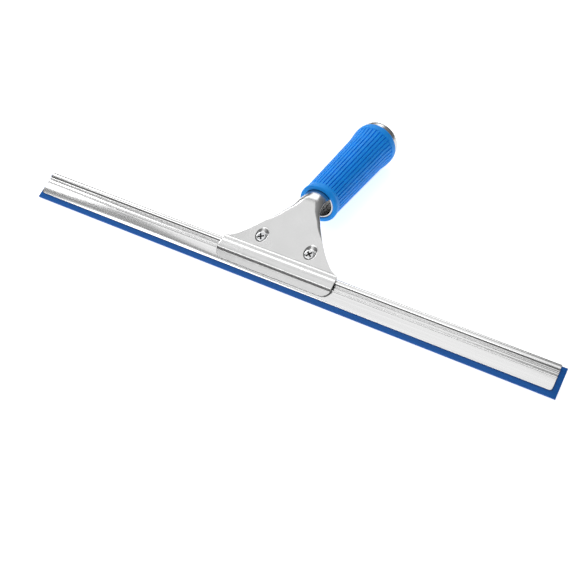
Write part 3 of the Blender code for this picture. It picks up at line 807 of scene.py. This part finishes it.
class StampedSheet:
    """A sheet of even thickness on rows of cross-sections, with pressed openings."""

    sheet = 1.2 * MM
    edge_round = 0.16 * MM

    def __init__(self, rows: list[SheetRow], centre_columns: int, wrap_columns: int = 0,
                 mouth: int | None = None) -> None:
        """Lay out the grid.

        Args:
            rows: cross-sections in order.
            centre_columns: number of faces across each row's own width.
            wrap_columns: number of faces on each side that wrap the tube further.
            mouth: index of the row where the wrapped sides start.
        """
        self.rows = rows
        self.centre_columns = centre_columns
        self.wrap_columns = wrap_columns
        self.mouth = len(rows) if mouth is None else mouth
        self.seam = 0.4 * MM

    def place(self, column: int, index: int, inset: float) -> Vector:
        """World place of one grid corner, at a depth below the outer face."""
        row = self.rows[index]
        centre = (column - self.wrap_columns - self.centre_columns / 2) / (self.centre_columns / 2)
        if index < self.mouth:
            return row.point(row.half * centre, inset)
        mouth_row = self.rows[self.mouth]
        neck_angle = mouth_row.half / mouth_row.radius
        beyond = max(abs(centre) - 1.0, 0.0) * self.centre_columns / 2 / self.wrap_columns
        full = math.pi - self.seam / 2 / row.radius
        angle = neck_angle * min(abs(centre), 1.0) + (full - neck_angle) * beyond
        return row.point(math.copysign(angle, centre) * row.radius, inset)

    def skin(self, bm: bmesh.types.BMesh) -> None:
        """Outer face of the sheet as a grid whose corners know their column and row."""
        columns = self.centre_columns + 2 * self.wrap_columns
        spans = len(self.rows) - 1
        column_of = bm.verts.layers.int.new("column")
        row_of = bm.verts.layers.int.new("row")
        bm.verts.layers.int.new("ring")
        bm.verts.layers.int.new("step")
        bm.verts.layers.int.new("opening")
        bmesh.ops.create_grid(bm, x_segments=columns, y_segments=spans, size=0.5)
        beside = []
        for face in bm.faces:
            middle = face.calc_center_median()
            if abs(middle.x) * columns > self.centre_columns / 2 and (middle.y + 0.5) * spans < self.mouth:
                beside.append(face)
        bmesh.ops.delete(bm, geom=beside, context="FACES")
        for vert in bm.verts:
            vert[column_of] = round((vert.co.x + 0.5) * columns)
            vert[row_of] = round((vert.co.y + 0.5) * spans)
        for vert in bm.verts:
            vert.co = self.place(vert[column_of], vert[row_of], 0.0)

    def cut_opening(self, bm: bmesh.types.BMesh, number: int, opening: Opening) -> None:
        """Cut an opening in the outer face and press its rings.

        Args:
            bm: the outer face.
            number: the opening's number, kept on its corners.
            opening: its frame and rings.
        """
        ring_of = bm.verts.layers.int["ring"]
        step_of = bm.verts.layers.int["step"]
        opening_of = bm.verts.layers.int["opening"]
        back = opening.frame.inverted()
        outermost = opening.rings[0][0]
        level = 0.1 * MM

        def near(vert: bmesh.types.BMVert, margin: float) -> bool:
            """Whether a corner of the plate lies by the opening."""
            place = back @ vert.co
            return abs(place.z) < level and outermost.holds(place, margin)

        doomed = [face for face in bm.faces if any(near(vert, 0.4 * MM) for vert in face.verts)]
        bmesh.ops.delete(bm, geom=doomed, context="FACES")
        cut = [edge for edge in bm.edges if edge.is_boundary
               and all(near(vert, 3 * MM) for vert in edge.verts)]
        circle = bmesh.ops.create_circle(bm, cap_ends=False, segments=opening.segments, radius=1.0)["verts"]
        for step, vert in enumerate(circle):
            vert.co = opening.frame @ outermost.point(step, opening.segments)
            vert[ring_of] = 1
            vert[step_of] = step
            vert[opening_of] = number
        edges = list({edge for vert in circle for edge in vert.link_edges})
        bmesh.ops.triangle_fill(bm, use_beauty=True, use_dissolve=False, edges=cut + edges)
        for index, (oval, _) in enumerate(opening.rings[1:], start=2):
            grown = bmesh.ops.extrude_edge_only(bm, edges=edges)["geom"]
            edges = [item for item in grown if isinstance(item, bmesh.types.BMEdge)]
            for vert in grown:
                if isinstance(vert, bmesh.types.BMVert):
                    vert.co = opening.frame @ oval.point(vert[step_of], opening.segments)
                    vert[ring_of] = index

    def thicken(self, bm: bmesh.types.BMesh, openings: Sequence[Opening]) -> None:
        """Carry a copy of the outer face down to the inner face, closed round every edge."""
        column_of = bm.verts.layers.int["column"]
        row_of = bm.verts.layers.int["row"]
        ring_of = bm.verts.layers.int["ring"]
        step_of = bm.verts.layers.int["step"]
        opening_of = bm.verts.layers.int["opening"]
        grown = bmesh.ops.extrude_face_region(bm, geom=bm.faces[:], use_keep_orig=True)["geom"]
        for vert in grown:
            if not isinstance(vert, bmesh.types.BMVert):
                continue
            if vert[ring_of] == 0:
                vert.co = self.place(vert[column_of], vert[row_of], self.sheet)
                continue
            opening = openings[vert[opening_of]]
            _, oval = opening.rings[vert[ring_of] - 1]
            vert.co = opening.frame @ oval.point(vert[step_of], opening.segments)

    def solid(self, openings: Sequence[Opening]) -> bmesh.types.BMesh:
        """The closed sheet with its openings and rounded edges."""
        bm = bmesh.new()
        self.skin(bm)
        for number, opening in enumerate(openings):
            self.cut_opening(bm, number, opening)
        self.thicken(bm, openings)
        bmesh.ops.recalc_face_normals(bm, faces=bm.faces)
        round_edges(bm, self.edge_round)
        return bm


@dataclass(frozen=True)
class JawShape:
    """Profile of a stamped jaw from its lip to its plate, the same on both jaws."""

    lip_u: float
    corner: float
    half: float
    lip_face: float = 3.6 * MM
    plate_face: float = 4.8 * MM
    step_u: float = 12.4 * MM

    def face(self, u: float) -> float:
        """Height n of the jaw's outer face at u."""
        low = self.lip_face
        high = self.plate_face
        table = (
            (self.step_u - 0.4 * MM, low),
            (self.step_u + 0.5 * MM, low + 0.08 * MM),
            (14.4 * MM, high - 0.1 * MM),
            (15.4 * MM, high + 0.25 * MM),
            (17.0 * MM, high + 0.35 * MM),
            (18.8 * MM, high + 0.27 * MM),
            (20.2 * MM, high),
            (21.2 * MM, high - 0.15 * MM),
            (22.2 * MM, high + 0.05 * MM),
            (23.3 * MM, high + 0.3 * MM),
            (24.4 * MM, high + 0.1 * MM),
            (25.2 * MM, high - 0.05 * MM),
            (26.0 * MM, high + 0.1 * MM),
            (26.6 * MM, high + 0.25 * MM),
            (27.6 * MM, high),
        )
        if u <= table[0][0]:
            return low
        return high if u >= table[-1][0] else follow(table, u)

    def half_at(self, u: float) -> float:
        """Half width near the jaw's rounded lip corners."""
        reach = u - self.lip_u
        if reach >= self.corner:
            return self.half
        return self.half - self.corner + math.sqrt(self.corner ** 2 - (self.corner - reach) ** 2)

    def stations(self) -> list[float]:
        """Places from the lip over the corners and the bands to the plate."""
        rounded = [self.lip_u + self.corner * (1 - math.cos(angle)) for angle in spread(0.3, 1.5, 9)]
        bands = spread(rounded[-1] + 0.3 * MM, 27.8 * MM, 56)
        return [self.lip_u] + rounded + bands


class ScrewPlace(Enum):
    """The two screws, left and right of the handle."""

    LEFT = "left"
    RIGHT = "right"

    def frame(self, plane: BladePlane, n: float) -> Matrix:
        """Frame on the screw's axis at n, local Z out of the plate."""
        side = -1 if self is ScrewPlace.LEFT else 1
        return plane.frame(side * 22.0 * MM, 35.5 * MM, n)


@dataclass
class HandleShell:
    """Upper jaw, plate, neck and tube, stamped from one sheet and rolled."""

    plane: BladePlane
    axis: HandleAxis
    jaw: JawShape = field(default_factory=lambda: JawShape(7.1 * MM, 7.5 * MM, 51.6 * MM))
    neck_half_arc: float = 11.3 * MM
    bend_radius: float = 22.0 * MM
    flank_radius: float = 4.5 * MM
    flank_arc: float = 4.2 * MM
    flank_start_u: float = 44.0 * MM
    flank_full_u: float = 62.0 * MM
    mouth_g: float = 1.0 * MM
    mouth_fillet: float = 1.2 * MM
    tube_radius: float = 13.1 * MM
    cone_radius: float = 15.4 * MM
    bell_radius: float = 18.9 * MM
    cone_g: float = 90.0 * MM
    bell_g: float = 105.0 * MM
    end_g: float = 114.2 * MM
    recess_depth: float = 1.8 * MM
    rim_half_width: float = 5.0 * MM
    rim_half_length: float = 6.7 * MM
    rim_shift: float = 2.0 * MM
    floor_radius: float = 4.65 * MM
    hole_radius: float = 3.0 * MM

    def plate_half(self, u: float) -> float:
        """Half width of the plate, measured along the sheet."""
        table = (
            (25.4 * MM, self.jaw.half),
            (26.6 * MM, self.jaw.half - 1.3 * MM),
            (29.0 * MM, self.jaw.half - 6.4 * MM),
            (36.6 * MM, self.jaw.half - 14.7 * MM),
            (47.7 * MM, self.jaw.half - 23.8 * MM),
            (62.9 * MM, self.neck_half_arc + 7.1 * MM),
            (76.0 * MM, self.neck_half_arc + 1.0 * MM),
            (88.0 * MM, self.neck_half_arc),
        )
        return follow(table, u)

    def radius_at(self, g: float) -> float:
        """Outer radius of the tube: a slow cone, then a bell at the open end."""
        if g <= self.cone_g:
            return self.tube_radius + (self.cone_radius - self.tube_radius) * g / self.cone_g
        return self.cone_radius + (self.bell_radius - self.cone_radius) * ease(g, self.cone_g, self.bell_g)

    def curled(self, y: float, z: float, tilt: float, u: float, half: float, curl_end: float) -> SheetRow:
        """Row whose sides turn down: narrow flanks on the plate, all of it at the tube."""
        flank = self.flank_arc * ease(u, self.flank_start_u, self.flank_full_u)
        share = ease(u, self.flank_full_u, curl_end)
        return SheetRow(self.plane.centre_x, y, z, tilt, half, (half - flank) * (1 - share),
                        self.flank_radius + (self.tube_radius - self.flank_radius) * share)

    def bend_corner(self) -> float:
        """u at which the plate's face meets the line along the top of the tube."""
        start = self.plane.point(0, 0, self.jaw.plate_face)
        line_y, line_z = self.axis.point(0, self.tube_radius)
        along = Vector((math.cos(self.plane.tilt), math.sin(self.plane.tilt)))
        handle = Vector((math.cos(self.axis.drop), -math.sin(self.axis.drop)))
        offset = Vector((line_y - start.y, line_z - start.z))
        return offset.cross(handle) / along.cross(handle)

    def neck_path(self, steps: int) -> list[tuple[float, float, float, float]]:
        """(u, y, z, tilt) along the bend from the plate to the top of the tube."""
        turn = self.plane.tilt + self.axis.drop
        start_u = self.bend_corner() - self.bend_radius * math.tan(turn / 2)
        start = self.plane.point(0, start_u, self.jaw.plate_face)
        path = []
        for angle in spread(0.0, turn, steps):
            forward = self.bend_radius * math.sin(angle)
            down = self.bend_radius * (1 - math.cos(angle))
            y = start.y + forward * math.cos(self.plane.tilt) + down * math.sin(self.plane.tilt)
            z = start.z + forward * math.sin(self.plane.tilt) - down * math.cos(self.plane.tilt)
            path.append((start_u + self.bend_radius * angle, y, z, self.plane.tilt - angle))
        return path

    def rows(self) -> tuple[list[SheetRow], int]:
        """All rows from the lip to the tube's open end, and the index of the mouth."""
        rows = []
        for u in self.jaw.stations():
            half = self.jaw.half_at(u) if u < 25.0 * MM else self.plate_half(u)
            place = self.plane.point(0, u, self.jaw.face(u))
            rows.append(SheetRow(self.plane.centre_x, place.y, place.z, self.plane.tilt, half, half,
                                 self.tube_radius))
        path = self.neck_path(16)
        last_u, last_y, last_z, _ = path[-1]
        mouth_y, mouth_z = self.axis.point(self.mouth_g, self.tube_radius)
        straight = math.hypot(mouth_y - last_y, mouth_z - last_z)
        curl_end = last_u + straight
        for u in spread(28.6 * MM, path[0][0], 52)[:-1]:
            place = self.plane.point(0, u, self.jaw.plate_face)
            rows.append(self.curled(place.y, place.z, self.plane.tilt, u, self.plate_half(u), curl_end))
        for u, y, z, tilt in path:
            rows.append(self.curled(y, z, tilt, u, self.plate_half(u), curl_end))
        for share in spread(0.0, 1.0, 18)[1:]:
            u = last_u + straight * share
            half = self.plate_half(u) + self.mouth_fillet * share ** 5
            rows.append(self.curled(last_y + (mouth_y - last_y) * share, last_z + (mouth_z - last_z) * share,
                                    -self.axis.drop, u, half, curl_end))
        mouth = len(rows) - 1
        tube = spread(self.mouth_g, self.cone_g, 36)[1:] + spread(self.cone_g, self.bell_g, 16)[1:]
        for g in tube + spread(self.bell_g, self.end_g, 5)[1:]:
            radius = self.radius_at(g)
            y, z = self.axis.point(g, radius)
            rows.append(SheetRow(self.plane.centre_x, y, z, -self.axis.drop, 0.0, 0.0, radius))
        return rows, mouth

    def bowl(self, depth: float, spare: float, wall: float = 0.0, sheet: float = 0.0) -> Oval:
        """Oval of a screw's recess at a depth, from its rim down to its round floor.

        Args:
            depth: depth below the plate's face.
            spare: how far the oval stands back from the recess's wall.
            wall: how far the inner face stands behind the outer one there.
            sheet: the sheet's thickness where the oval is on the inner face.

        Returns:
            The oval.
        """
        share = depth / self.recess_depth
        grown = spare + wall
        return Oval(self.rim_half_width + (self.floor_radius - self.rim_half_width) * share + grown,
                    self.rim_half_length + (self.floor_radius - self.rim_half_length) * share + grown,
                    depth + sheet, self.rim_shift * (1 - share))

    def recess(self, screw: ScrewPlace) -> Opening:
        """Pressed recess for a screw's head: rounded oval rim, bowl, round floor and hole."""
        sheet = StampedSheet.sheet
        flat = self.bowl(0.0, 2.0 * MM)
        rings = [(flat, self.bowl(0.0, 2.0 * MM, 0.0, sheet))]
        for depth, spare, wall in ((0.0, 0.55, 0.9), (0.04, 0.3, 1.0), (0.14, 0.1, 1.1), (0.3, 0.02, 1.1),
                                   (0.6, 0.0, 1.1), (1.0, 0.0, 1.1), (1.35, 0.0, 1.1), (1.6, -0.05, 1.05),
                                   (1.74, -0.15, 0.95), (1.8, -0.4, 0.8)):
            rings.append((self.bowl(depth * MM, spare * MM),
                          self.bowl(depth * MM, spare * MM, wall * MM, sheet)))
        hole = self.hole_radius
        rings.append((Oval(hole, hole, self.recess_depth), Oval(hole, hole, self.recess_depth + sheet)))
        return Opening(screw.frame(self.plane, self.jaw.plate_face), tuple(rings))

    def build(self) -> bpy.types.Object:
        """The whole stamping."""
        rows, mouth = self.rows()
        sheet = StampedSheet(rows, 104, 44, mouth)
        bm = sheet.solid([self.recess(screw) for screw in ScrewPlace])
        return finish_mesh(bm, "handle_stamping", SatinSteel("stainless_satin_stamped"))


@dataclass
class LowerJaw:
    """Lower jaw: lip, plate with two holes, and the tongue that lies in the tube's mouth."""

    plane: BladePlane
    jaw: JawShape = field(default_factory=lambda: JawShape(10.8 * MM, 5.0 * MM, 46.0 * MM))
    tongue_half: float = 7.0 * MM
    tongue_u: float = 93.0 * MM
    tongue_drop: float = 1.6 * MM
    bend_u: float = 76.0 * MM

    def plate_half(self, u: float) -> float:
        """Half width of the plate, inside the outline of the upper one."""
        table = (
            (25.0 * MM, self.jaw.half),
            (29.0 * MM, self.jaw.half - 5.0 * MM),
            (38.0 * MM, self.jaw.half - 13.5 * MM),
            (50.0 * MM, self.jaw.half - 23.5 * MM),
            (64.0 * MM, self.tongue_half + 4.0 * MM),
            (self.bend_u, self.tongue_half),
        )
        return follow(table, u)

    def rows(self) -> list[SheetRow]:
        """Rows from the lip to the tongue's heel."""
        stations = []
        for u in self.jaw.stations():
            half = self.jaw.half_at(u) if u < 25.0 * MM else self.plate_half(u)
            stations.append((u, self.jaw.face(u), half))
        for u in spread(28.6 * MM, self.bend_u, 40):
            stations.append((u, self.jaw.plate_face, self.plate_half(u)))
        for share in spread(0.0, 1.0, 14)[1:]:
            half = self.tongue_half - 1.5 * MM * share ** 6
            stations.append((self.bend_u + (self.tongue_u - self.bend_u) * share,
                             self.jaw.plate_face + self.tongue_drop * share ** 2, half))
        rows = []
        for u, n, half in stations:
            place = self.plane.point(0, u, -n)
            rows.append(SheetRow(self.plane.centre_x, place.y, place.z, self.plane.tilt, half, half,
                                 self.tongue_half, -1.0))
        return rows

    def hole(self, screw: ScrewPlace) -> Opening:
        """Punched hole with slightly rounded edges."""
        sheet = StampedSheet.sheet
        rings = []
        for radius, depth in ((4.6 * MM, 0.0), (3.15 * MM, 0.0), (3.0 * MM, 0.15 * MM)):
            rings.append((Oval(radius, radius, depth), Oval(radius, radius, sheet - depth)))
        flip = Matrix.Rotation(math.pi, 4, "X")
        return Opening(screw.frame(self.plane, -self.jaw.plate_face) @ flip, tuple(rings))

    def build(self) -> bpy.types.Object:
        """The stamping."""
        bm = StampedSheet(self.rows(), 80).solid([self.hole(screw) for screw in ScrewPlace])
        return finish_mesh(bm, "lower_jaw_stamping", SatinSteel("stainless_satin_stamped"))


# --------------------------------------------------------------------------
# Screws and nuts
# --------------------------------------------------------------------------


@dataclass
class Screw:
    """M5 pan head screw with a cross recess."""

    plane: BladePlane
    place: ScrewPlace
    turn: float
    shank_radius: float = 2.5 * MM
    thread_depth: float = 0.42 * MM
    thread_pitch: float = 0.8 * MM
    head_radius: float = 4.3 * MM
    head_height: float = 2.0 * MM
    seat: float = 3.3 * MM
    length: float = 15.0 * MM
    cross_half: float = 2.85 * MM
    cross_width: float = 1.25 * MM
    cross_depth: float = 1.3 * MM
    steps: int = 144

    def dome(self, radius: float) -> float:
        """Height of the head's crown at a radius."""
        cosine = (radius / self.head_radius) ** 2.5
        return self.head_height * (0.55 + 0.45 * math.sqrt(max(1 - cosine ** 2, 0.0)))

    def profile(self) -> Profile:
        """(radius, z) from the tip to the middle of the crown."""
        points = [(0.0, -self.length), (self.shank_radius - 0.6 * MM, -self.length)]
        for z in spread(0.6 * MM - self.length, -1.2 * MM, 96):
            points.append((self.shank_radius, z))
        points += [(self.shank_radius, -0.1 * MM), (self.shank_radius + 0.15 * MM, 0.0),
                   (self.head_radius - 0.25 * MM, 0.0)]
        points += arc((self.head_radius - 0.25 * MM, 0.25 * MM), 0.25 * MM, -60, 0, 4)
        points.append((self.head_radius, self.dome(self.head_radius)))
        for share in (0.01, 0.03):
            points.append((self.head_radius * (1 - share), self.dome(self.head_radius * (1 - share))))
        for share in spread(0.06, 1.0, 40):
            points.append((self.head_radius * (1 - share), self.dome(self.head_radius * (1 - share))))
        return points

    def recess_depth(self, x: float, y: float) -> float:
        """Depth of the cross recess at a place on the crown, deepest in the middle."""
        along = x * math.cos(self.turn) + y * math.sin(self.turn)
        across = y * math.cos(self.turn) - x * math.sin(self.turn)
        width = self.cross_width / 2
        outside = min(max(abs(along) - self.cross_half, abs(across) - width),
                      max(abs(across) - self.cross_half, abs(along) - width))
        middle = 1 - math.hypot(x, y) / self.cross_half
        return self.cross_depth * (0.62 + 0.38 * max(middle, 0.0)) * ease(-outside, -0.05 * MM, 0.14 * MM)

    def thread_depth_at(self, vert: bmesh.types.BMVert) -> float:
        """Depth of the helical thread at a corner of the shank."""
        angle = math.atan2(vert.co.y, vert.co.x)
        turns = (vert.co.z / self.thread_pitch - angle / math.tau) % 1.0
        fade = 1 - ease(vert.co.z, -2.4 * MM, -1.2 * MM)
        return self.thread_depth * (1 - abs(2 * turns - 1)) * fade

    def build(self) -> bpy.types.Object:
        """The screw in its recess."""
        bm = turn_profile(self.profile(), self.steps)
        depth_of = bm.verts.layers.float.new("depth")
        for vert in bm.verts:
            radius = math.hypot(vert.co.x, vert.co.y)
            if vert.co.z > 0.3 * MM:
                vert[depth_of] = self.recess_depth(vert.co.x, vert.co.y)
                vert.co.z -= vert[depth_of]
            elif radius > self.shank_radius - 1e-6 and vert.co.z < -1.0 * MM:
                scale = (radius - self.thread_depth_at(vert)) / radius
                vert.co.x *= scale
                vert.co.y *= scale
        # Faces deep in the cross take the second material, painted shade for the dark inside of the recess.
        for face in bm.faces:
            if max(vert[depth_of] for vert in face.verts) > 0.3 * self.cross_depth:
                face.material_index = 1
        obj = finish_mesh(bm, f"{self.place.value}_screw", PlatedSteel("steel_bright_zinc"), 32.0,
                          self.place.frame(self.plane, self.seat))
        obj.data.materials.append(CrossRecessPaintedShade("cross_recess_painted_shade").material())
        return obj


@dataclass
class Nut:
    """Hex nut under the lower jaw, chamfered on both faces."""

    plane: BladePlane
    place: ScrewPlace
    flats: float = 8.0 * MM
    height: float = 4.0 * MM
    bore: float = 3.0 * MM
    top: float = -5.1 * MM
    steps: int = 144

    def build(self) -> bpy.types.Object:
        """The nut on its screw."""
        half = self.flats / 2
        corner = half / math.cos(math.pi / 6)
        flat_ring = half * 0.97
        profile = [(self.bore, -self.height + 0.3 * MM), (self.bore + 0.3 * MM, -self.height)]
        profile += [(radius, -self.height) for radius in spread(flat_ring * 0.95, corner, 8)]
        profile += [(corner, z) for z in spread(-self.height + 0.2 * MM, -0.2 * MM, 8)]
        profile += [(radius, 0.0) for radius in reversed(spread(flat_ring * 0.95, corner, 8))]
        profile += [(self.bore + 0.3 * MM, 0.0), (self.bore, -0.3 * MM)]
        bm = turn_profile(profile, self.steps, closed=True)
        for vert in bm.verts:
            radius = math.hypot(vert.co.x, vert.co.y)
            if radius < self.bore + 0.4 * MM:
                continue
            angle = (math.atan2(vert.co.y, vert.co.x) + math.pi / 6) % (math.pi / 3) - math.pi / 6
            limit = half / math.cos(angle)
            reach = min(radius, limit)
            vert.co.x *= reach / radius
            vert.co.y *= reach / radius
            cut = max(reach - flat_ring, 0.0) * math.tan(math.radians(30))
            vert.co.z = min(max(vert.co.z, cut - self.height), -cut)
        bmesh.ops.remove_doubles(bm, verts=bm.verts, dist=0.002 * MM)
        bmesh.ops.dissolve_degenerate(bm, edges=bm.edges, dist=0.002 * MM)
        return finish_mesh(bm, f"{self.place.value}_nut", PlatedSteel("steel_bright_zinc"), 20.0,
                           self.place.frame(self.plane, self.top))


# --------------------------------------------------------------------------
# Grip
# --------------------------------------------------------------------------


@dataclass
class Grip:
    """Moulded rubber sleeve: a thick front rim, 36 flat ribs and a flared rear."""

    axis: HandleAxis
    shell: HandleShell
    gap: float = 0.3 * MM
    length: float = 107.7 * MM
    rim_radius: float = 17.1 * MM
    rim_round: float = 1.3 * MM
    front_radius: float = 16.6 * MM
    back_radius: float = 18.7 * MM
    flare_radius: float = 20.3 * MM
    flare_g: float = 104.5 * MM
    waist_g: float = 86.0 * MM
    rib_count: int = 36
    rib_start_g: float = 6.5 * MM
    rib_end_g: float = 100.5 * MM
    end_round: float = 0.6 * MM
    end_slope: float = 0.037
    groove_depth: float = 1.0 * MM
    groove_half: float = 0.55 * MM
    ring_groove_depth: float = 0.6 * MM
    ring_groove_half: float = 0.5 * MM
    steps_per_rib: int = 16

    def outer_radius(self, g: float) -> float:
        """Radius over the ribs at g, behind the rounded front edge."""
        table = (
            (0.0, self.rim_radius),
            (3.2 * MM, self.rim_radius),
            (self.rib_start_g - 1.5 * MM, self.front_radius),
            (self.rib_start_g, self.front_radius),
        )
        if g <= self.rib_start_g:
            return follow(table, g)
        if g <= self.waist_g:
            share = (g - self.rib_start_g) / (self.waist_g - self.rib_start_g)
            return self.front_radius + (self.back_radius - self.front_radius) * share
        if g > self.flare_g:
            return self.flare_radius - (g - self.flare_g) * self.end_slope
        flared = self.back_radius + (self.flare_radius - self.back_radius) * ease(g, self.waist_g, self.flare_g)
        beside = abs(g - self.rib_end_g) / self.ring_groove_half
        return flared - self.ring_groove_depth * max(1 - beside, 0.0)

    def profile(self) -> Profile:
        """Closed (radius, g) loop: outside front to back, inside back to front."""
        inner_front = self.shell.radius_at(0.0) + self.gap
        points = [(inner_front + 0.5 * MM, 0.0)]
        rim_centre = (self.rim_radius - self.rim_round, self.rim_round)
        points += arc(rim_centre, self.rim_round, -90, 0, 8)
        for g in spread(1.8 * MM, self.rib_start_g, 8) + spread(self.rib_start_g, 9 * MM, 10)[1:]:
            points.append((self.outer_radius(g), g))
        for g in spread(9 * MM, self.waist_g, 10)[1:] + spread(self.waist_g, 99.5 * MM, 11)[1:]:
            points.append((self.outer_radius(g), g))
        for g in spread(99.5 * MM, 101.5 * MM, 16)[1:] + spread(101.5 * MM, self.length - self.end_round, 12)[1:]:
            points.append((self.outer_radius(g), g))
        end_radius = self.outer_radius(self.length - self.end_round)
        points += arc((end_radius - self.end_round, self.length - self.end_round), self.end_round, 0, 90, 6)[1:]
        inside = [self.length] + list(reversed(spread(self.shell.cone_g, self.shell.bell_g, 12)))
        inside += [60 * MM, 30 * MM, 0.5 * MM]
        points += [(self.shell.radius_at(g) + self.gap, g) for g in inside]
        return points

    def groove(self, column: int, g: float, radius: float) -> float:
        """Depth of the groove between two ribs.

        Args:
            column: number of the grid line round the axis.
            g: place along the axis.
            radius: radius of the rib's face there.

        Returns:
            The depth, which fades at both ends of the groove.
        """
        phase = column % self.steps_per_rib
        phase = min(phase, self.steps_per_rib - phase)
        across = phase * math.tau / (self.rib_count * self.steps_per_rib) * radius
        ends = ease(g, self.rib_start_g, self.rib_start_g + 1.2 * MM)
        ends *= 1 - ease(g, self.rib_end_g - 0.2 * MM, self.rib_end_g + 0.3 * MM)
        return self.groove_depth * ends * max(1 - across / self.groove_half, 0.0) ** 0.6

    def build(self) -> bpy.types.Object:
        """The sleeve on the tube."""
        steps = self.rib_count * self.steps_per_rib
        bm = turn_profile(self.profile(), steps, closed=True)
        for vert in bm.verts:
            radius = math.hypot(vert.co.x, vert.co.y)
            g = vert.co.z
            if not self.rib_start_g < g < self.rib_end_g + 0.4 * MM or radius < self.outer_radius(g) - 0.1 * MM:
                continue
            column = round(math.atan2(vert.co.y, vert.co.x) / math.tau * steps)
            scale = (radius - self.groove(column, g, radius)) / radius
            vert.co.x *= scale
            vert.co.y *= scale
        return finish_mesh(bm, "grip_rubber", GripRubber("tpr_moulded_ribbed"), 40.0, self.axis.frame())


# --------------------------------------------------------------------------
# Studio
# --------------------------------------------------------------------------


@dataclass
class Studio:
    """Plain pale floor, soft lights and the camera."""

    target: tuple[float, float, float] = (0.01297, -0.09144, 0.0)
    azimuth: float = 30.0
    elevation: float = 42.5
    distance: float = 0.726
    lens: float = 58.4
    floor_half: float = 3.0

    def floor(self) -> None:
        """Sheet of studio paper under the squeegee."""
        bm = bmesh.new()
        bmesh.ops.create_grid(bm, x_segments=8, y_segments=8, size=self.floor_half)
        floor = finish_mesh(bm, "studio_floor", PaperFloor("studio_paper"))

    def softbox(self, name: str, place: tuple[float, float, float], size: tuple[float, float],
                power: float) -> None:
        """Rectangular soft light that faces the squeegee.

        Args:
            name: the light's name.
            place: its place.
            size: its width and height.
            power: its power in watts.
        """
        light = bpy.data.lights.new(name, "AREA")
        light.shape = "RECTANGLE"
        light.size, light.size_y = size
        light.energy = power
        lamp = bpy.data.objects.new(name, light)
        lamp.location = place
        lamp.rotation_euler = (Vector(place) - Vector(self.target)).to_track_quat("Z", "Y").to_euler()
        bpy.context.scene.collection.objects.link(lamp)

    def lights(self) -> None:
        """A broad overhead softbox, and smaller ones in front, to the left and behind."""
        self.softbox("overhead_softbox", (-0.25, -0.25, 1.7), (2.2, 1.1), 6.0)
        self.softbox("front_softbox", (-0.58, -0.95, 1.25), (1.3, 0.45), 4.2)
        self.softbox("left_softbox", (-1.35, 0.35, 1.1), (0.8, 0.8), 8.5)
        self.softbox("rear_softbox", (-0.65, 1.3, 1.1), (1.3, 0.8), 6.0)

    def world(self) -> None:
        """Grey room, darkest at the horizon."""
        world = bpy.data.worlds.new("studio_room")
        bpy.context.scene.world = world
        world.use_nodes = True
        tree = world.node_tree
        coords = add_node(tree, "ShaderNodeTexCoord")
        split = add_node(tree, "ShaderNodeSeparateXYZ", links={"Vector": coords.outputs["Generated"]})
        colour = add_ramp(tree, split.outputs["Z"], [(0.0, linear("505050")), (0.3, linear("707070")),
                                                     (0.9, linear("a4a4a4"))])
        background = tree.nodes["Background"]
        tree.links.new(colour, background.inputs["Color"])
        background.inputs["Strength"].default_value = 1.0

    def camera(self) -> None:
        """The camera, from the front right and above."""
        data = bpy.data.cameras.new("studio_camera")
        data.lens = self.lens
        data.sensor_width = 36.0
        a = math.radians(self.azimuth)
        e = math.radians(self.elevation)
        back = Vector((math.sin(a) * math.cos(e), -math.cos(a) * math.cos(e), math.sin(e)))
        camera = bpy.data.objects.new("studio_camera", data)
        camera.location = Vector(self.target) + back * self.distance
        camera.rotation_euler = back.to_track_quat("Z", "Y").to_euler()
        bpy.context.scene.collection.objects.link(camera)
        bpy.context.scene.camera = camera

    def build(self) -> None:
        """Everything that isn't the squeegee."""
        bpy.context.scene.view_settings.view_transform = "Standard"
        self.floor()
        self.lights()
        self.world()
        self.camera()


def main() -> None:
    """Build the squeegee piece by piece, then the studio."""
    logging.basicConfig(level=logging.INFO, format="%(name)s: %(message)s")
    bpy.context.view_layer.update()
    plane = find_blade_plane()
    axis = find_handle_axis(plane)
    shell = HandleShell(plane, axis)
    stand_for(Blade(plane).build(), "rubber_blade", "rubber", Slot.BLADE)
    stand_for(Channel(plane).build(), "channel", "channel", Slot.BRIGHT)
    stand_for(shell.build(), "handle_shell", "handle", Slot.SATIN)
    stand_for(LowerJaw(plane).build(), "lower_jaw", "lower_jaw", Slot.SATIN)
    stand_for(Grip(axis, shell).build(), "grip_sleeve", "handle", Slot.GRIP)
    for screw, turn in ((ScrewPlace.LEFT, 30.0), (ScrewPlace.RIGHT, 52.0)):
        side = screw.value
        stand_for(Screw(plane, screw, math.radians(turn)).build(), f"screw_{side}", f"screw_{side}",
                  Slot.PLATED)
        stand_for(Nut(plane, screw).build(), f"nut_{side}", "lower_jaw", Slot.PLATED)
    Studio().build()


if __name__ == "__main__":
    main()
